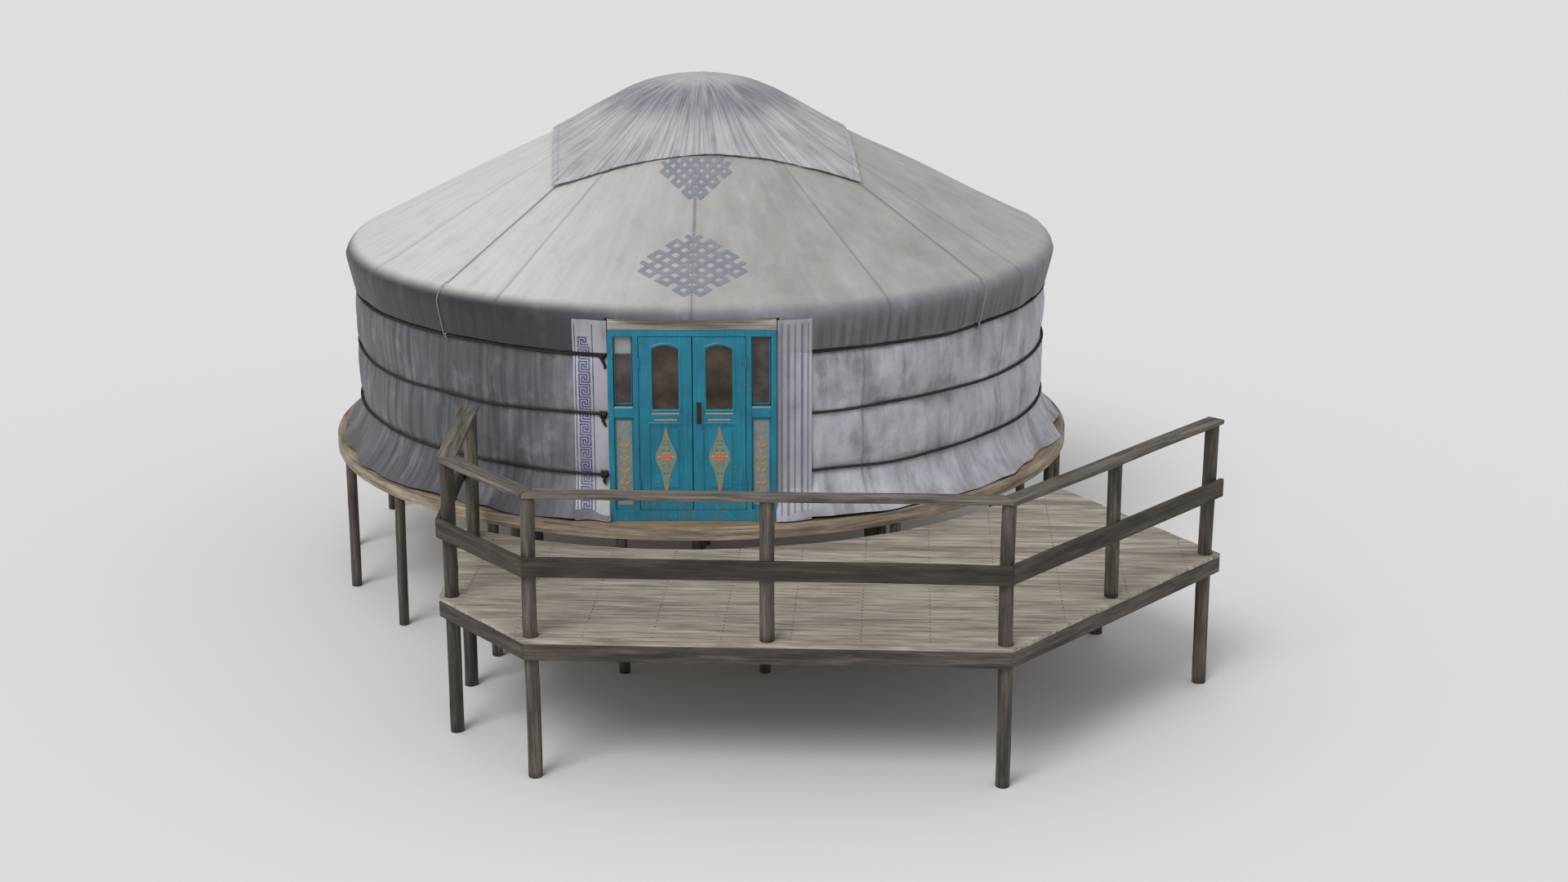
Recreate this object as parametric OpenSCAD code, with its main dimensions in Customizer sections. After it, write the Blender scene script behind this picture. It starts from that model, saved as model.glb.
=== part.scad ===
// Yurt on a round timber platform, with a railed deck on posts before its door.
// Origin: ground level under the middle of the yurt. The door faces -Y and +Z is up. Sizes in mm.

/* [Levels] */
// Top of the deck above the ground
deck_h = 1050; // [800:10:1400]
// Top of the yurt's floor above the deck
floor_step = 150; // [130:5:260]

/* [Wall] */
// Outer radius of the wall cover where the ropes hold it
rope_r = 2955; // [2700:5:3200]
// Thickness of the felt and canvas cover
cover_t = 30; // [20:1:40]
// Height of the lattice wall
lattice_h = 1640; // [1620:5:1800]
// How far the hem of the cover stands out at the floor
hem_flare = 195; // [60:5:230]
// How far the cover bulges out between two ropes
cover_bulge = 20; // [0:1:30]
// Heights of the three girth ropes, as parts of the lattice wall's height
rope_share = [0.213, 0.503, 0.79];
// Thickness of a girth rope
rope_d = 26; // [16:1:34]

/* [Lattice] */
// Lattice heads round the whole circle, one to a roof pole
head_count = 81; // [60:3:81]
// Heads that one lath passes on its way up
lath_span = 6; // [4:1:8]
// Width of a lath
lath_w = 34; // [24:1:40]
// Thickness of a lath
lath_t = 12; // [8:1:14]

/* [Roof] */
// Pitch of the roof poles in degrees
roof_pitch = 26.3; // [22:0.1:30]
// Thickness of a roof pole
pole_d = 40; // [30:1:46]
// Outer radius of the crown ring
crown_r = 720; // [640:5:800]
// Radial width of the crown ring
crown_w = 80; // [60:2:100]
// Height of the crown ring
crown_h = 110; // [100:2:130]
// Rise of the crown's dome above its ring
crown_rise = 211; // [170:1:230]
// Half the side of the square crown cap
cap_half = 1260; // [1100:5:1400]
// Turn of the crown cap in degrees
cap_turn = 4; // [0:1:45]
// Thickness of the crown cap
cap_t = 12; // [8:1:16]

/* [Door] */
// Outer width of the door frame
door_w = 1280; // [1200:5:1360]
// Height of the lintel over the door frame
lintel_h = 130; // [110:5:180]
// How far the door frame stands out before the ropes
door_proud = 35; // [25:1:60]
// Depth of the door frame
frame_d = 110; // [90:2:130]
// Width of a jamb and of a mullion
jamb_w = 40; // [36:1:60]
// Width of a sidelight
side_w = 150; // [120:5:170]
// Height of the sill
sill_h = 90; // [60:2:110]
// Height of the frame's head
head_h = 45; // [40:1:60]
// Thickness of a door leaf
leaf_t = 36; // [32:1:44]
// Gap between a leaf and the frame
leaf_gap = 5; // [5:0.5:7]
// Gap between the two leaves
meeting_gap = 8; // [8:0.5:12]
// Width of a leaf's window
window_w = 200; // [160:5:220]
// Height of a leaf's window
window_h = 500; // [420:5:540]

/* [Platform] */
// Ledge of the platform outside the wall's hem
rim_ledge = 45; // [35:5:120]
// Radial width of the rim beam
rim_w = 60; // [50:2:80]
// Depth of the rim beam
rim_h = 90; // [80:2:110]
// Thickness of the floor boards
floor_t = 36; // [28:1:40]
// Posts under the rim
rim_posts = 18; // [12:1:24]
// Spacing of the floor joists
floor_joist_pitch = 560; // [400:10:700]
// Spacing of the three bearers under the joists
bearer_pitch = 1500; // [1200:20:1800]
// Depth of a bearer
bearer_h = 100; // [80:5:140]

/* [Deck] */
// Turn of the deck against the doorway in degrees
deck_turn = -3.4; // [-6:0.1:0]
// How far the deck reaches out before the platform
deck_depth = 2005; // [1500:5:2600]
// Front left corner, across from the middle of the yurt
front_left_x = -810; // [-1200:10:-400]
// Front right corner
front_right_x = 2550; // [2000:10:3000]
// Left corner, where the left side starts back to the yurt
left_corner_x = -1550; // [-1900:10:-1300]
// How far the left corner lies behind the front edge
left_corner_back = 830; // [500:10:1000]
// Right corner
right_corner_x = 4200; // [3800:10:4600]
// How far the right corner lies behind the front edge
right_corner_back = 2100; // [1800:10:2400]
// Length of the rail on the left side
left_rail_l = 1450; // [1200:10:1480]
// Thickness of the deck boards
board_t = 28; // [22:1:34]
// Depth of the joists and of the edge boards
joist_h = 120; // [100:5:160]
// Spacing of the joists
joist_pitch = 480; // [400:10:600]
// Diameter of the deck posts
post_d = 110; // [90:2:130]
// Top of the rail above the deck
rail_h = 1050; // [900:10:1150]
// Width of the top rail
top_rail_w = 140; // [110:5:160]
// Thickness of the rails and edge boards
rail_t = 36; // [28:1:44]
// Height of the middle rail board
mid_rail_h = 140; // [100:5:180]

/* [Hidden] */
$fn = 64;
// Sides of a circle some metres across
big_fn = 360;
// Seat between pieces that rest on each other, and play between a pin and its bore
seat = 0.3;
pin_play = 0.1;
floor_z = deck_h + floor_step;
rope_z = [for (share = rope_share) share * lattice_h];

// Lattice: two layers of laths that cross, inside the cover
lath_out_r = rope_r - cover_t - seat;
lath_mid_r = lath_out_r - lath_t - seat / 2;
head_step = 360 / head_count;
door_half_angle = asin((door_w / 2 + 12) / lath_mid_r);
door_heads = ceil(door_half_angle / head_step - 0.5);

// Roof: the poles rest on the lattice heads and the cover rests on the poles
pole_rise = pole_d / 2 / cos(roof_pitch);
cover_v = cover_t / cos(roof_pitch);
pole_end_r = lath_mid_r + 12;
function pole_z(r) = lattice_h + seat + pole_rise + (lath_mid_r - r) * tan(roof_pitch);
function roof_in_z(r) = pole_z(r) + pole_rise + 0.5;
function roof_out_z(r) = roof_in_z(r) + cover_v;
eave_r = lath_mid_r + 28;
crown_z = pole_z(crown_r);
// Top of the crown's dome in the middle, and the sphere that carries it
spoke_top = crown_z + crown_h / 2 + crown_rise;
spoke_r = (pow(crown_r - crown_w / 2, 2) + pow(crown_rise, 2)) / 2 / crown_rise;

// Door: the front of the frame is a flat face across the wall's circle
door_y = rope_r + door_proud;
door_h = lattice_h - lintel_h;
lintel_drop = 44;
opening_w = door_w - 4 * jamb_w - 2 * side_w;
leaf_w = (opening_w - meeting_gap) / 2 - leaf_gap;
leaf_z = sill_h + leaf_gap;
leaf_h = door_h - head_h - leaf_gap - leaf_z;
hinge_x = opening_w / 2 - leaf_gap / 2;
hinge_y = -9;
barrel_r = 8;
pin_r = 4;
knuckle_h = 40;
hinge_plate_t = 3;
window_z = leaf_h - 65 - window_h;
transom_h = 85;
transom_z = leaf_z + window_z - transom_h + 20;

// Platform
rim_r = rope_r + hem_flare + rim_ledge;
disc_r = rim_r - rim_w - seat;
rim_post_d = 90;
inner_post_d = 120;
bearer_w = 80;
joist_w = 50;
rim_post_r = rim_r - rim_w / 2 - 18;
rim_post_out = rim_post_r + rim_post_d / 2;
bearer_half = sqrt(pow(disc_r, 2) - pow(bearer_pitch, 2)) - 450;
inner_post_in = 600;
inner_post_y = bearer_half - inner_post_in;
floor_joist_rows = floor((disc_r - 60) / floor_joist_pitch);
under_z = floor_z - rim_h;

// Deck: its edge from the left end at the yurt, round the front, to the right end at the yurt
front_y = -rim_r - deck_depth;
left_end_in = 100;
left_end_back = 595;
right_end_in = 1500;
right_end_back = 2150;
edge = [
    [left_corner_x - left_end_in, front_y + deck_depth + left_end_back],
    [left_corner_x, front_y + left_corner_back],
    [front_left_x, front_y],
    [front_right_x, front_y],
    [right_corner_x, front_y + right_corner_back],
    [right_corner_x - right_end_in, front_y + right_corner_back + right_end_back],
];
deck_gap = 25;
deck_cut_r = rim_r + deck_gap;
post_in = rail_t + seat + post_d / 2;
deck_under = deck_h - board_t - joist_h;
rail_z = deck_h + rail_h - rail_t;
mid_rail_z = deck_h + rail_h / 2 - mid_rail_h / 2;

// Plan geometry: unit normal to the left of a leg, and a path shifted sideways with mitred corners
function leg(a, b) = (b - a) / norm(b - a);
function left_of(d) = [-d[1], d[0]];
function corner_shift(p, i) =
    let (last = len(p) - 1,
         n0 = left_of(leg(p[max(i - 1, 0)], p[max(i, 1)])),
         n1 = left_of(leg(p[min(i, last - 1)], p[min(i + 1, last)])))
    (n0 + n1) / (1 + n0 * n1);
function shifted(p, d) = [for (i = [0:len(p) - 1]) p[i] + d * corner_shift(p, i)];

// The rails start near the yurt on the left and end at the right corner
rail_start = edge[1] + left_rail_l * leg(edge[1], edge[0]);
rail_path = [rail_start, edge[1], edge[2], edge[3], edge[4]];
post_line = shifted(edge, post_in);
corner_spots = [post_line[1], post_line[2], post_line[3], post_line[4]];
rail_spots = [
    post_line[1] + (left_rail_l - post_d) * leg(edge[1], edge[0]),
    (post_line[2] + post_line[3]) / 2,
    (post_line[3] + post_line[4]) / 2,
];
back_spots = [
    post_line[1] + 900 * leg(edge[1], edge[0]),
    post_line[4] + 1250 * leg(edge[4], edge[5]),
];

timber = [0.55, 0.50, 0.45];
canvas = [0.76, 0.75, 0.73];
teal = [0.05, 0.47, 0.58];
frame_wood = [0.62, 0.36, 0.18];
iron = [0.15, 0.15, 0.16];

// Outer radius of the wall cover at a height above the floor: pinched at each rope, flared at the hem
function between(z, lo, hi) = sin(180 * (z - lo) / (hi - lo));
function cover_r(z) =
    z < rope_z[0] ? rope_r + hem_flare * pow((rope_z[0] - z) / rope_z[0], 1.6) :
    z < rope_z[1] ? rope_r + cover_bulge * between(z, rope_z[0], rope_z[1]) :
    z < rope_z[2] ? rope_r + cover_bulge * between(z, rope_z[1], rope_z[2]) :
    rope_r + cover_bulge * 0.4 * between(z, rope_z[2], lattice_h + 60);
cover_top = lattice_h - 16;
cover_marks = concat([0], rope_z, [cover_top]);
cover_zs = concat(
    [for (i = [0:3], k = [0:5]) cover_marks[i] + (cover_marks[i + 1] - cover_marks[i]) * k / 6],
    [cover_top]);
cover_steps = len(cover_zs) - 1;

// Roof cover: straight slope, rounded shoulder and a valance drawn in to just above the top rope
valance_z = rope_z[2] + rope_d / 2 + 12;
valance_r = rope_r + cover_bulge * 0.4 + 6;
valance_t = 10;
crown_lean = tan(roof_pitch) * crown_h / 2;
roof_start_r = crown_r + crown_lean + 10;
roof_profile = [
    [roof_start_r, roof_in_z(roof_start_r)],
    [eave_r, roof_in_z(eave_r)],
    [eave_r + 44, roof_in_z(eave_r) - 36],
    [eave_r + 72, roof_in_z(eave_r) - 78],
    [eave_r + 66, roof_in_z(eave_r) - 130],
    [valance_r, valance_z],
    [valance_r + valance_t, valance_z],
    [eave_r + 94, roof_in_z(eave_r) - 130],
    [eave_r + 103, roof_in_z(eave_r) - 66],
    [eave_r + 67, roof_in_z(eave_r) - 14],
    [eave_r + 13, roof_out_z(eave_r + 13)],
    [roof_start_r, roof_out_z(roof_start_r)],
];

// Crown cap: a dome over the crown, a straight stretch down to the roof, then flat on the roof cover
cap_gap = 0.5;
cap_edge_r = crown_r + crown_lean + 10;
cap_edge_z = crown_z + crown_h / 2 + 6;
cap_top = spoke_top + 14;
cap_dome_r = (pow(cap_edge_r, 2) + pow(cap_top - cap_edge_z, 2)) / 2 / (cap_top - cap_edge_z);
cap_hem = 90;
cap_foot_r = cap_half - cap_hem;
cap_foot_z = roof_out_z(cap_foot_r) + cap_gap;
function cap_under(r) =
    r <= cap_edge_r ? cap_top - cap_dome_r + sqrt(cap_dome_r * cap_dome_r - r * r) :
    r <= cap_foot_r ? cap_edge_z + (cap_foot_z - cap_edge_z) * (r - cap_edge_r) / (cap_foot_r - cap_edge_r) :
    roof_out_z(r) + cap_gap;
cap_rs = concat([for (i = [0:8]) i * cap_edge_r / 8], [cap_foot_r, cap_half * 1.5]);
cap_steps = len(cap_rs) - 1;

// Turns a piece made at azimuth 0 on +X to its place counted from the door on -Y
module at_angle(a) {
    rotate([0, 0, a - 90])
        children();
}

module on_floor() {
    translate([0, 0, floor_z])
        children();
}

// Space kept free for the door frame in the covers and ropes
module door_space(side, top) {
    translate([-door_w / 2 - side, -rim_r, -1])
        cube([door_w + 2 * side, rim_r, top + 1]);
}

// Posts under the rim, inner posts and the bearers they carry
module platform_posts() {
    color(timber) {
        for (i = [0:rim_posts - 1])
            at_angle((i + 0.5) * 360 / rim_posts)
                translate([rim_post_r, 0, 0])
                    cylinder(d = rim_post_d, h = under_z);
        for (i = [-1:1], k = [-1:1])
            translate([i * bearer_pitch, k * inner_post_y, 0])
                cylinder(d = inner_post_d, h = under_z - bearer_h);
    }
}

module platform_bearers() {
    color(timber)
        for (i = [-1:1])
            translate([i * bearer_pitch - bearer_w / 2, -bearer_half, under_z - bearer_h])
                cube([bearer_w, 2 * bearer_half, bearer_h]);
}

module platform_joists() {
    color(timber)
        translate([0, 0, under_z])
            intersection() {
                cylinder(r = disc_r, h = rim_h - floor_t, $fn = big_fn);
                for (i = [-floor_joist_rows:floor_joist_rows])
                    translate([-rim_r, i * floor_joist_pitch - joist_w / 2, 0])
                        cube([2 * rim_r, joist_w, rim_h - floor_t]);
            }
}

module platform_rim() {
    color(timber)
        translate([0, 0, under_z])
            difference() {
                cylinder(r = rim_r, h = rim_h, $fn = big_fn);
                translate([0, 0, -1])
                    cylinder(r = rim_r - rim_w, h = rim_h + 2, $fn = big_fn);
            }
}

module floor_disc() {
    color(timber)
        translate([0, 0, floor_z - floor_t])
            cylinder(r = disc_r, h = floor_t, $fn = big_fn);
}

// One strip of board along a leg of the edge path, between two distances inside it
module edge_strip(path, i, near, far, z, h) {
    outer = shifted(path, near);
    inner = shifted(path, far);
    trim = seat / 2 * leg(path[i], path[i + 1]);
    translate([0, 0, z])
        linear_extrude(height = h)
            polygon([outer[i] + trim, outer[i + 1] - trim, inner[i + 1] - trim, inner[i] + trim]);
}

module deck_place() {
    rotate([0, 0, deck_turn])
        children();
}

module deck_posts(spots, z, h, extra) {
    for (p = spots)
        translate([p[0], p[1], z])
            cylinder(d = post_d + 2 * extra, h = h);
}

module deck_boards() {
    color(timber)
        deck_place()
            difference() {
                translate([0, 0, deck_h - board_t])
                    linear_extrude(height = board_t)
                        polygon(edge);
                translate([0, 0, deck_h - board_t - 1])
                    cylinder(r = deck_cut_r, h = board_t + 2, $fn = big_fn);
                deck_posts(corner_spots, deck_h - board_t - 1, board_t + 2, seat);
            }
}

module deck_joists() {
    color(timber)
        deck_place()
            difference() {
                intersection() {
                    translate([0, 0, deck_under])
                        linear_extrude(height = joist_h)
                            polygon(shifted(edge, rail_t + seat));
                    for (x = [left_corner_x + 180:joist_pitch:right_corner_x])
                        translate([x - joist_w / 2, front_y, deck_under])
                            cube([joist_w, -front_y, joist_h]);
                }
                translate([0, 0, deck_under - 1])
                    cylinder(r = deck_cut_r, h = joist_h + 2, $fn = big_fn);
                deck_posts(concat(corner_spots, back_spots), deck_under - 1, joist_h + 2, seat);
            }
}

module deck_edge_boards() {
    color(timber)
        deck_place()
            difference() {
                for (i = [0:4])
                    edge_strip(edge, i, 0, rail_t, deck_under, joist_h);
                translate([0, 0, deck_under - 1])
                    cylinder(r = deck_cut_r, h = joist_h + 2, $fn = big_fn);
            }
}

// Curved ledger on the platform's posts: it holds the yurt ends of the joists
module deck_ledger() {
    color(timber)
        deck_place()
            intersection() {
                translate([0, 0, deck_under])
                    difference() {
                        cylinder(r = deck_cut_r - seat, h = joist_h, $fn = big_fn);
                        translate([0, 0, -1])
                            cylinder(r = rim_post_out + seat, h = joist_h + 2, $fn = big_fn);
                    }
                translate([0, 0, deck_under - 1])
                    linear_extrude(height = joist_h + 2)
                        polygon(shifted(edge, rail_t + seat));
            }
}

module deck_back_posts() {
    color(timber)
        deck_place()
            deck_posts(back_spots, 0, deck_h - board_t, 0);
}

module corner_posts() {
    color(timber)
        deck_place()
            deck_posts(corner_spots, 0, rail_z, 0);
}

module rail_posts() {
    color(timber)
        deck_place()
            deck_posts(rail_spots, deck_h, rail_h - rail_t, 0);
}

module top_rails() {
    color(timber)
        deck_place()
            for (i = [0:3])
                edge_strip(rail_path, i, post_in - top_rail_w / 2, post_in + top_rail_w / 2, rail_z, rail_t);
}

module mid_rails() {
    color(timber)
        deck_place()
            for (i = [0:3])
                edge_strip(rail_path, i, 0, rail_t, mid_rail_z, mid_rail_h);
}

// A lath follows the flats of a many-sided wall, one flat to a head, so the two layers never cut
module lath(first, last, start_z, step_z, r) {
    half = lath_h / 2;
    count = last - first;
    ring = [for (k = [0:count])
        let (a = (first + k) * head_step, z = start_z + k * step_z)
        each [
            [r * cos(a), r * sin(a), z - half],
            [(r + lath_t) * cos(a), (r + lath_t) * sin(a), z - half],
            [(r + lath_t) * cos(a), (r + lath_t) * sin(a), z + half],
            [r * cos(a), r * sin(a), z + half],
        ]];
    sides = [for (k = [0:count - 1], s = [0:3])
        let (a = 4 * k + s, b = 4 * k + (s + 1) % 4)
        each [[a, a + 4, b], [b, a + 4, b + 4]]];
    polyhedron(ring, concat([[0, 1, 2, 3]], sides, [[4 * count + 3, 4 * count + 2, 4 * count + 1, 4 * count]]));
}
lath_run = lath_span * head_step * PI / 180 * lath_mid_r;
lath_h = lath_w * sqrt(lath_run * lath_run + lattice_h * lattice_h) / lath_run;
lath_step = (lattice_h - lath_h) / lath_span;

// Laths of one fifth of the wall, both layers, cut short beside the door
module lattice_wall(fifth) {
    lo = door_heads;
    hi = head_count - door_heads;
    share = (hi - lo + lath_span) / 5;
    first = lo - lath_span + round(fifth * share);
    stop = lo - lath_span + round((fifth + 1) * share) - 1;
    color(frame_wood)
        on_floor()
            rotate([0, 0, -90])
                for (k = [first:stop]) {
                    a = max(k, lo);
                    b = min(k + lath_span, hi);
                    if (b - a > 0) {
                        lath(a, b, lath_h / 2 + (a - k) * lath_step, lath_step, lath_mid_r + seat / 2);
                        lath(a, b, lattice_h - lath_h / 2 - (a - k) * lath_step, -lath_step, lath_mid_r - lath_t - seat / 2);
                    }
                }
}

// Wall cover: felt and canvas in five arcs round the lattice
module wall_cover(fifth) {
    span = 360 / 5;
    seam = seat / rope_r * 180 / PI;
    color(canvas)
        on_floor()
            difference() {
                at_angle(fifth * span)
                    rotate_extrude(angle = span - seam, $fn = big_fn)
                        polygon(concat(
                            [for (z = cover_zs) [cover_r(z), z]],
                            [for (i = [cover_steps:-1:0]) [cover_r(cover_zs[i]) - cover_t, cover_zs[i]]]));
                door_space(seat, lattice_h);
            }
}

// The girth ropes run from jamb to jamb round the cover
module girth_ropes() {
    color(iron)
        on_floor()
            difference() {
                for (z = rope_z)
                    translate([0, 0, z])
                        rotate_extrude($fn = big_fn)
                            translate([rope_r + rope_d / 2 + seat, 0])
                                circle(d = rope_d, $fn = 24);
                door_space(seat, lattice_h);
            }
}

module roof_poles() {
    run = pole_end_r - crown_r;
    color(frame_wood)
        on_floor()
            for (k = [0:head_count - 1])
                at_angle(k * head_step)
                    translate([crown_r + seat, 0, crown_z])
                        rotate([0, 90 + roof_pitch, 0])
                            cylinder(d = pole_d, h = run / cos(roof_pitch), $fn = 24);
}

// The ring's outer face is square to the poles that press on it
module crown_ring() {
    color(frame_wood)
        on_floor()
            rotate_extrude($fn = big_fn)
                polygon([
                    [crown_r - crown_w, crown_z - crown_h / 2],
                    [crown_r - crown_lean, crown_z - crown_h / 2],
                    [crown_r + crown_lean, crown_z + crown_h / 2],
                    [crown_r - crown_w, crown_z + crown_h / 2],
                ]);
}

// Eight arched spokes rise from the ring to a round hub and carry the cap
module crown_spokes() {
    hub_r = 95;
    color(frame_wood)
        on_floor() {
            for (a = [0:45:315])
                difference() {
                    intersection() {
                        rotate([90, 0, a])
                            translate([0, spoke_top - spoke_r, 0])
                                rotate([0, 0, 45])
                                    rotate_extrude(angle = 45, $fn = big_fn)
                                        translate([spoke_r - 50, -20])
                                            square([50, 40]);
                        translate([0, 0, crown_z + crown_h / 2 + seat])
                            cylinder(r = crown_r, h = crown_rise + 10);
                    }
                    translate([0, 0, crown_z])
                        cylinder(r = hub_r + seat, h = 400);
                }
            translate([0, 0, spoke_top - 75])
                cylinder(r = hub_r, h = 75);
        }
}

module crown_columns() {
    color(frame_wood)
        on_floor()
            for (s = [-1, 1])
                translate([s * (crown_r - crown_w / 2), 0, 0]) {
                    translate([-35, -35, 0])
                        cube([70, 70, crown_z - crown_h / 2 - seat]);
                    translate([-30, -180, crown_z - crown_h / 2 - seat - 90])
                        cube([60, 360, 90]);
                }
}

// Roof cover in six gores
module roof_gore(i) {
    seam = seat / crown_r * 180 / PI;
    color(canvas)
        on_floor()
            difference() {
                at_angle(i * 60)
                    rotate_extrude(angle = 60 - seam, $fn = big_fn)
                        polygon(roof_profile);
                door_space(20, lattice_h - lintel_drop + 4);
            }
}

module crown_cap() {
    color(canvas)
        on_floor()
            intersection() {
                rotate_extrude($fn = big_fn)
                    polygon(concat(
                        [for (r = cap_rs) [r, cap_under(r)]],
                        [for (i = [cap_steps:-1:0]) [cap_rs[i], cap_under(cap_rs[i]) + cap_t]]));
                rotate([0, 0, cap_turn])
                    translate([-cap_half, -cap_half, 0])
                        cube([2 * cap_half, 2 * cap_half, 2 * spoke_top]);
            }
}

// Everything of the door is made with its front on y = 0 and then set into the wall
module door_place() {
    translate([0, -door_y, floor_z])
        children();
}

module mirrored(side) {
    mirror([side < 0 ? 1 : 0, 0, 0])
        children();
}

module door_sill() {
    color(teal)
        door_place()
            translate([-door_w / 2 + jamb_w, 0, 0])
                cube([door_w - 2 * jamb_w, frame_d, sill_h]);
}

module door_head() {
    color(teal)
        door_place()
            translate([-door_w / 2 + jamb_w, 0, door_h - head_h])
                cube([door_w - 2 * jamb_w, frame_d, head_h]);
}

// Board over the frame, with a plate behind it that carries the poles above the door
module door_lintel() {
    front = 25;
    plate_y = door_y - pole_end_r - 8;
    plate_z = lattice_h - lintel_drop;
    color(canvas) {
        door_place()
            translate([-door_w / 2, front, door_h])
                cube([door_w, frame_d - front, plate_z - door_h]);
        intersection() {
            door_place()
                translate([-door_w / 2, plate_y, plate_z - 1])
                    cube([door_w, frame_d - plate_y, lattice_h - 6 - plate_z + 1]);
            on_floor()
                cylinder(r = eave_r + 30, h = 2 * lattice_h, $fn = big_fn);
        }
    }
}

module door_jambs() {
    color(teal)
        door_place()
            for (s = [-1, 1])
                mirrored(s)
                    translate([door_w / 2 - jamb_w, 0, 0])
                        cube([jamb_w, frame_d, door_h]);
}

// Each mullion carries a leaf and stops it from behind
module door_mullions() {
    x0 = opening_w / 2;
    stop_y = leaf_t + leaf_gap;
    color(teal)
        door_place()
            for (s = [-1, 1])
                mirrored(s)
                    translate([0, 0, sill_h])
                        linear_extrude(height = door_h - head_h - sill_h)
                            polygon([
                                [x0, 0],
                                [x0 + jamb_w, 0],
                                [x0 + jamb_w, frame_d],
                                [x0 - 14, frame_d],
                                [x0 - 14, stop_y],
                                [x0, stop_y],
                            ]);
}

module side_transoms() {
    color(teal)
        door_place()
            for (s = [-1, 1])
                mirrored(s)
                    translate([opening_w / 2 + jamb_w, 6, transom_z])
                        cube([side_w, frame_d - 40, transom_h]);
}

module side_panels() {
    color(teal)
        door_place()
            for (s = [-1, 1])
                mirrored(s)
                    translate([opening_w / 2 + jamb_w, 30, sill_h])
                        cube([side_w, 22, transom_z - sill_h]);
}

module side_glass() {
    top = transom_z + transom_h;
    color([0.2, 0.17, 0.15])
        door_place()
            for (s = [-1, 1])
                mirrored(s)
                    translate([opening_w / 2 + jamb_w, 40, top])
                        cube([side_w, 6, door_h - head_h - top]);
}

// Window of a leaf: straight sides and a low curved top
module window_shape(grow) {
    w = window_w / 2 + grow;
    rise = 34;
    arc_r = (w * w + rise * rise) / 2 / rise;
    top = window_h + grow;
    translate([-w, -grow])
        square([2 * w, top - rise + grow]);
    intersection() {
        translate([-w, top - rise - 1])
            square([2 * w, rise + 1]);
        translate([0, top - arc_r])
            circle(r = arc_r, $fn = 96);
    }
}

// A leaf: window above, raised panel below
module door_leaf(side) {
    panel_h = window_z - 130 - 150;
    color(teal)
        door_place()
            mirrored(side)
                translate([meeting_gap / 2, 0, leaf_z])
                    difference() {
                        cube([leaf_w, leaf_t, leaf_h]);
                        translate([leaf_w / 2, leaf_t + 1, window_z])
                            rotate([90, 0, 0])
                                linear_extrude(height = leaf_t + 2)
                                    window_shape(0);
                        translate([leaf_w / 2, 0, 150])
                            for (y = [-1, leaf_t - 7])
                                translate([0, y, 0])
                                    difference() {
                                        translate([-120, 0, 0])
                                            cube([240, 8, panel_h]);
                                        translate([-95, -1, 25])
                                            cube([190, 10, panel_h - 50]);
                                    }
                    }
}

module leaf_glass(side) {
    color([0.2, 0.17, 0.15])
        door_place()
            mirrored(side)
                translate([meeting_gap / 2 + leaf_w / 2, leaf_t / 2 + 3, leaf_z + window_z])
                    rotate([90, 0, 0])
                        linear_extrude(height = 6)
                            window_shape(-seat);
}

hinge_zs = [leaf_z + 160, leaf_z + leaf_h - 240];

// Fixed half of each lift-off hinge: plate, lower knuckle and pin
module frame_hinges() {
    color(iron)
        door_place()
            for (s = [-1, 1], z = hinge_zs)
                mirrored(s)
                    translate([hinge_x, 0, z]) {
                        translate([1, -hinge_plate_t, 0])
                            cube([leaf_gap / 2 + 34, hinge_plate_t, knuckle_h]);
                        translate([0, hinge_y, 0])
                            cylinder(r = barrel_r, h = knuckle_h);
                        translate([0, hinge_y, 0])
                            cylinder(r = pin_r, h = 2 * knuckle_h - 4);
                    }
}

// Moving half: plate on the leaf and a bored upper knuckle
module leaf_hinges(side) {
    color(iron)
        door_place()
            for (z = hinge_zs)
                mirrored(side)
                    translate([hinge_x, 0, z + knuckle_h + seat])
                        difference() {
                            union() {
                                translate([-leaf_gap / 2 - 60, -hinge_plate_t, 0])
                                    cube([leaf_gap / 2 + 59, hinge_plate_t, knuckle_h]);
                                translate([0, hinge_y, 0])
                                    cylinder(r = barrel_r, h = knuckle_h);
                            }
                            translate([0, hinge_y, -1])
                                cylinder(r = pin_r + pin_play, h = knuckle_h + 2);
                        }
}

// Pull handle on the right leaf
module door_handle() {
    z = leaf_z + window_z - 95;
    color(iron)
        door_place()
            translate([meeting_gap / 2 + 45, 0, z]) {
                translate([-18, -4, -20])
                    cube([36, 4, 170]);
                for (h = [0, 130])
                    translate([0, 0, h])
                        rotate([90, 0, 0])
                            cylinder(d = 14, h = 45);
                translate([0, -45, -7])
                    cylinder(d = 14, h = 144);
            }
}

platform_posts();
platform_bearers();
platform_joists();
platform_rim();
floor_disc();  // floor
deck_boards();
deck_joists();
deck_edge_boards();
deck_ledger();
deck_back_posts();
corner_posts();
rail_posts();
top_rails();
mid_rails();
lattice_wall(0);  // lattice_wall_1
lattice_wall(1);  // lattice_wall_2
lattice_wall(2);  // lattice_wall_3
lattice_wall(3);  // lattice_wall_4
lattice_wall(4);  // lattice_wall_5
wall_cover(0);  // wall_cover_1
wall_cover(1);  // wall_cover_2
wall_cover(2);  // wall_cover_3
wall_cover(3);  // wall_cover_4
wall_cover(4);  // wall_cover_5
girth_ropes();
roof_poles();
crown_ring();
crown_spokes();
crown_columns();
roof_gore(0);  // roof_gore_1
roof_gore(1);  // roof_gore_2
roof_gore(2);  // roof_gore_3
roof_gore(3);  // roof_gore_4
roof_gore(4);  // roof_gore_5
roof_gore(5);  // roof_gore_6
crown_cap();
door_sill();
door_head();
door_lintel();
door_jambs();
door_mullions();
side_transoms();
side_panels();
side_glass();
frame_hinges();
door_leaf(-1);  // left_leaf
leaf_glass(-1);  // left_leaf_glass
leaf_hinges(-1);  // left_leaf_hinges
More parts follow.
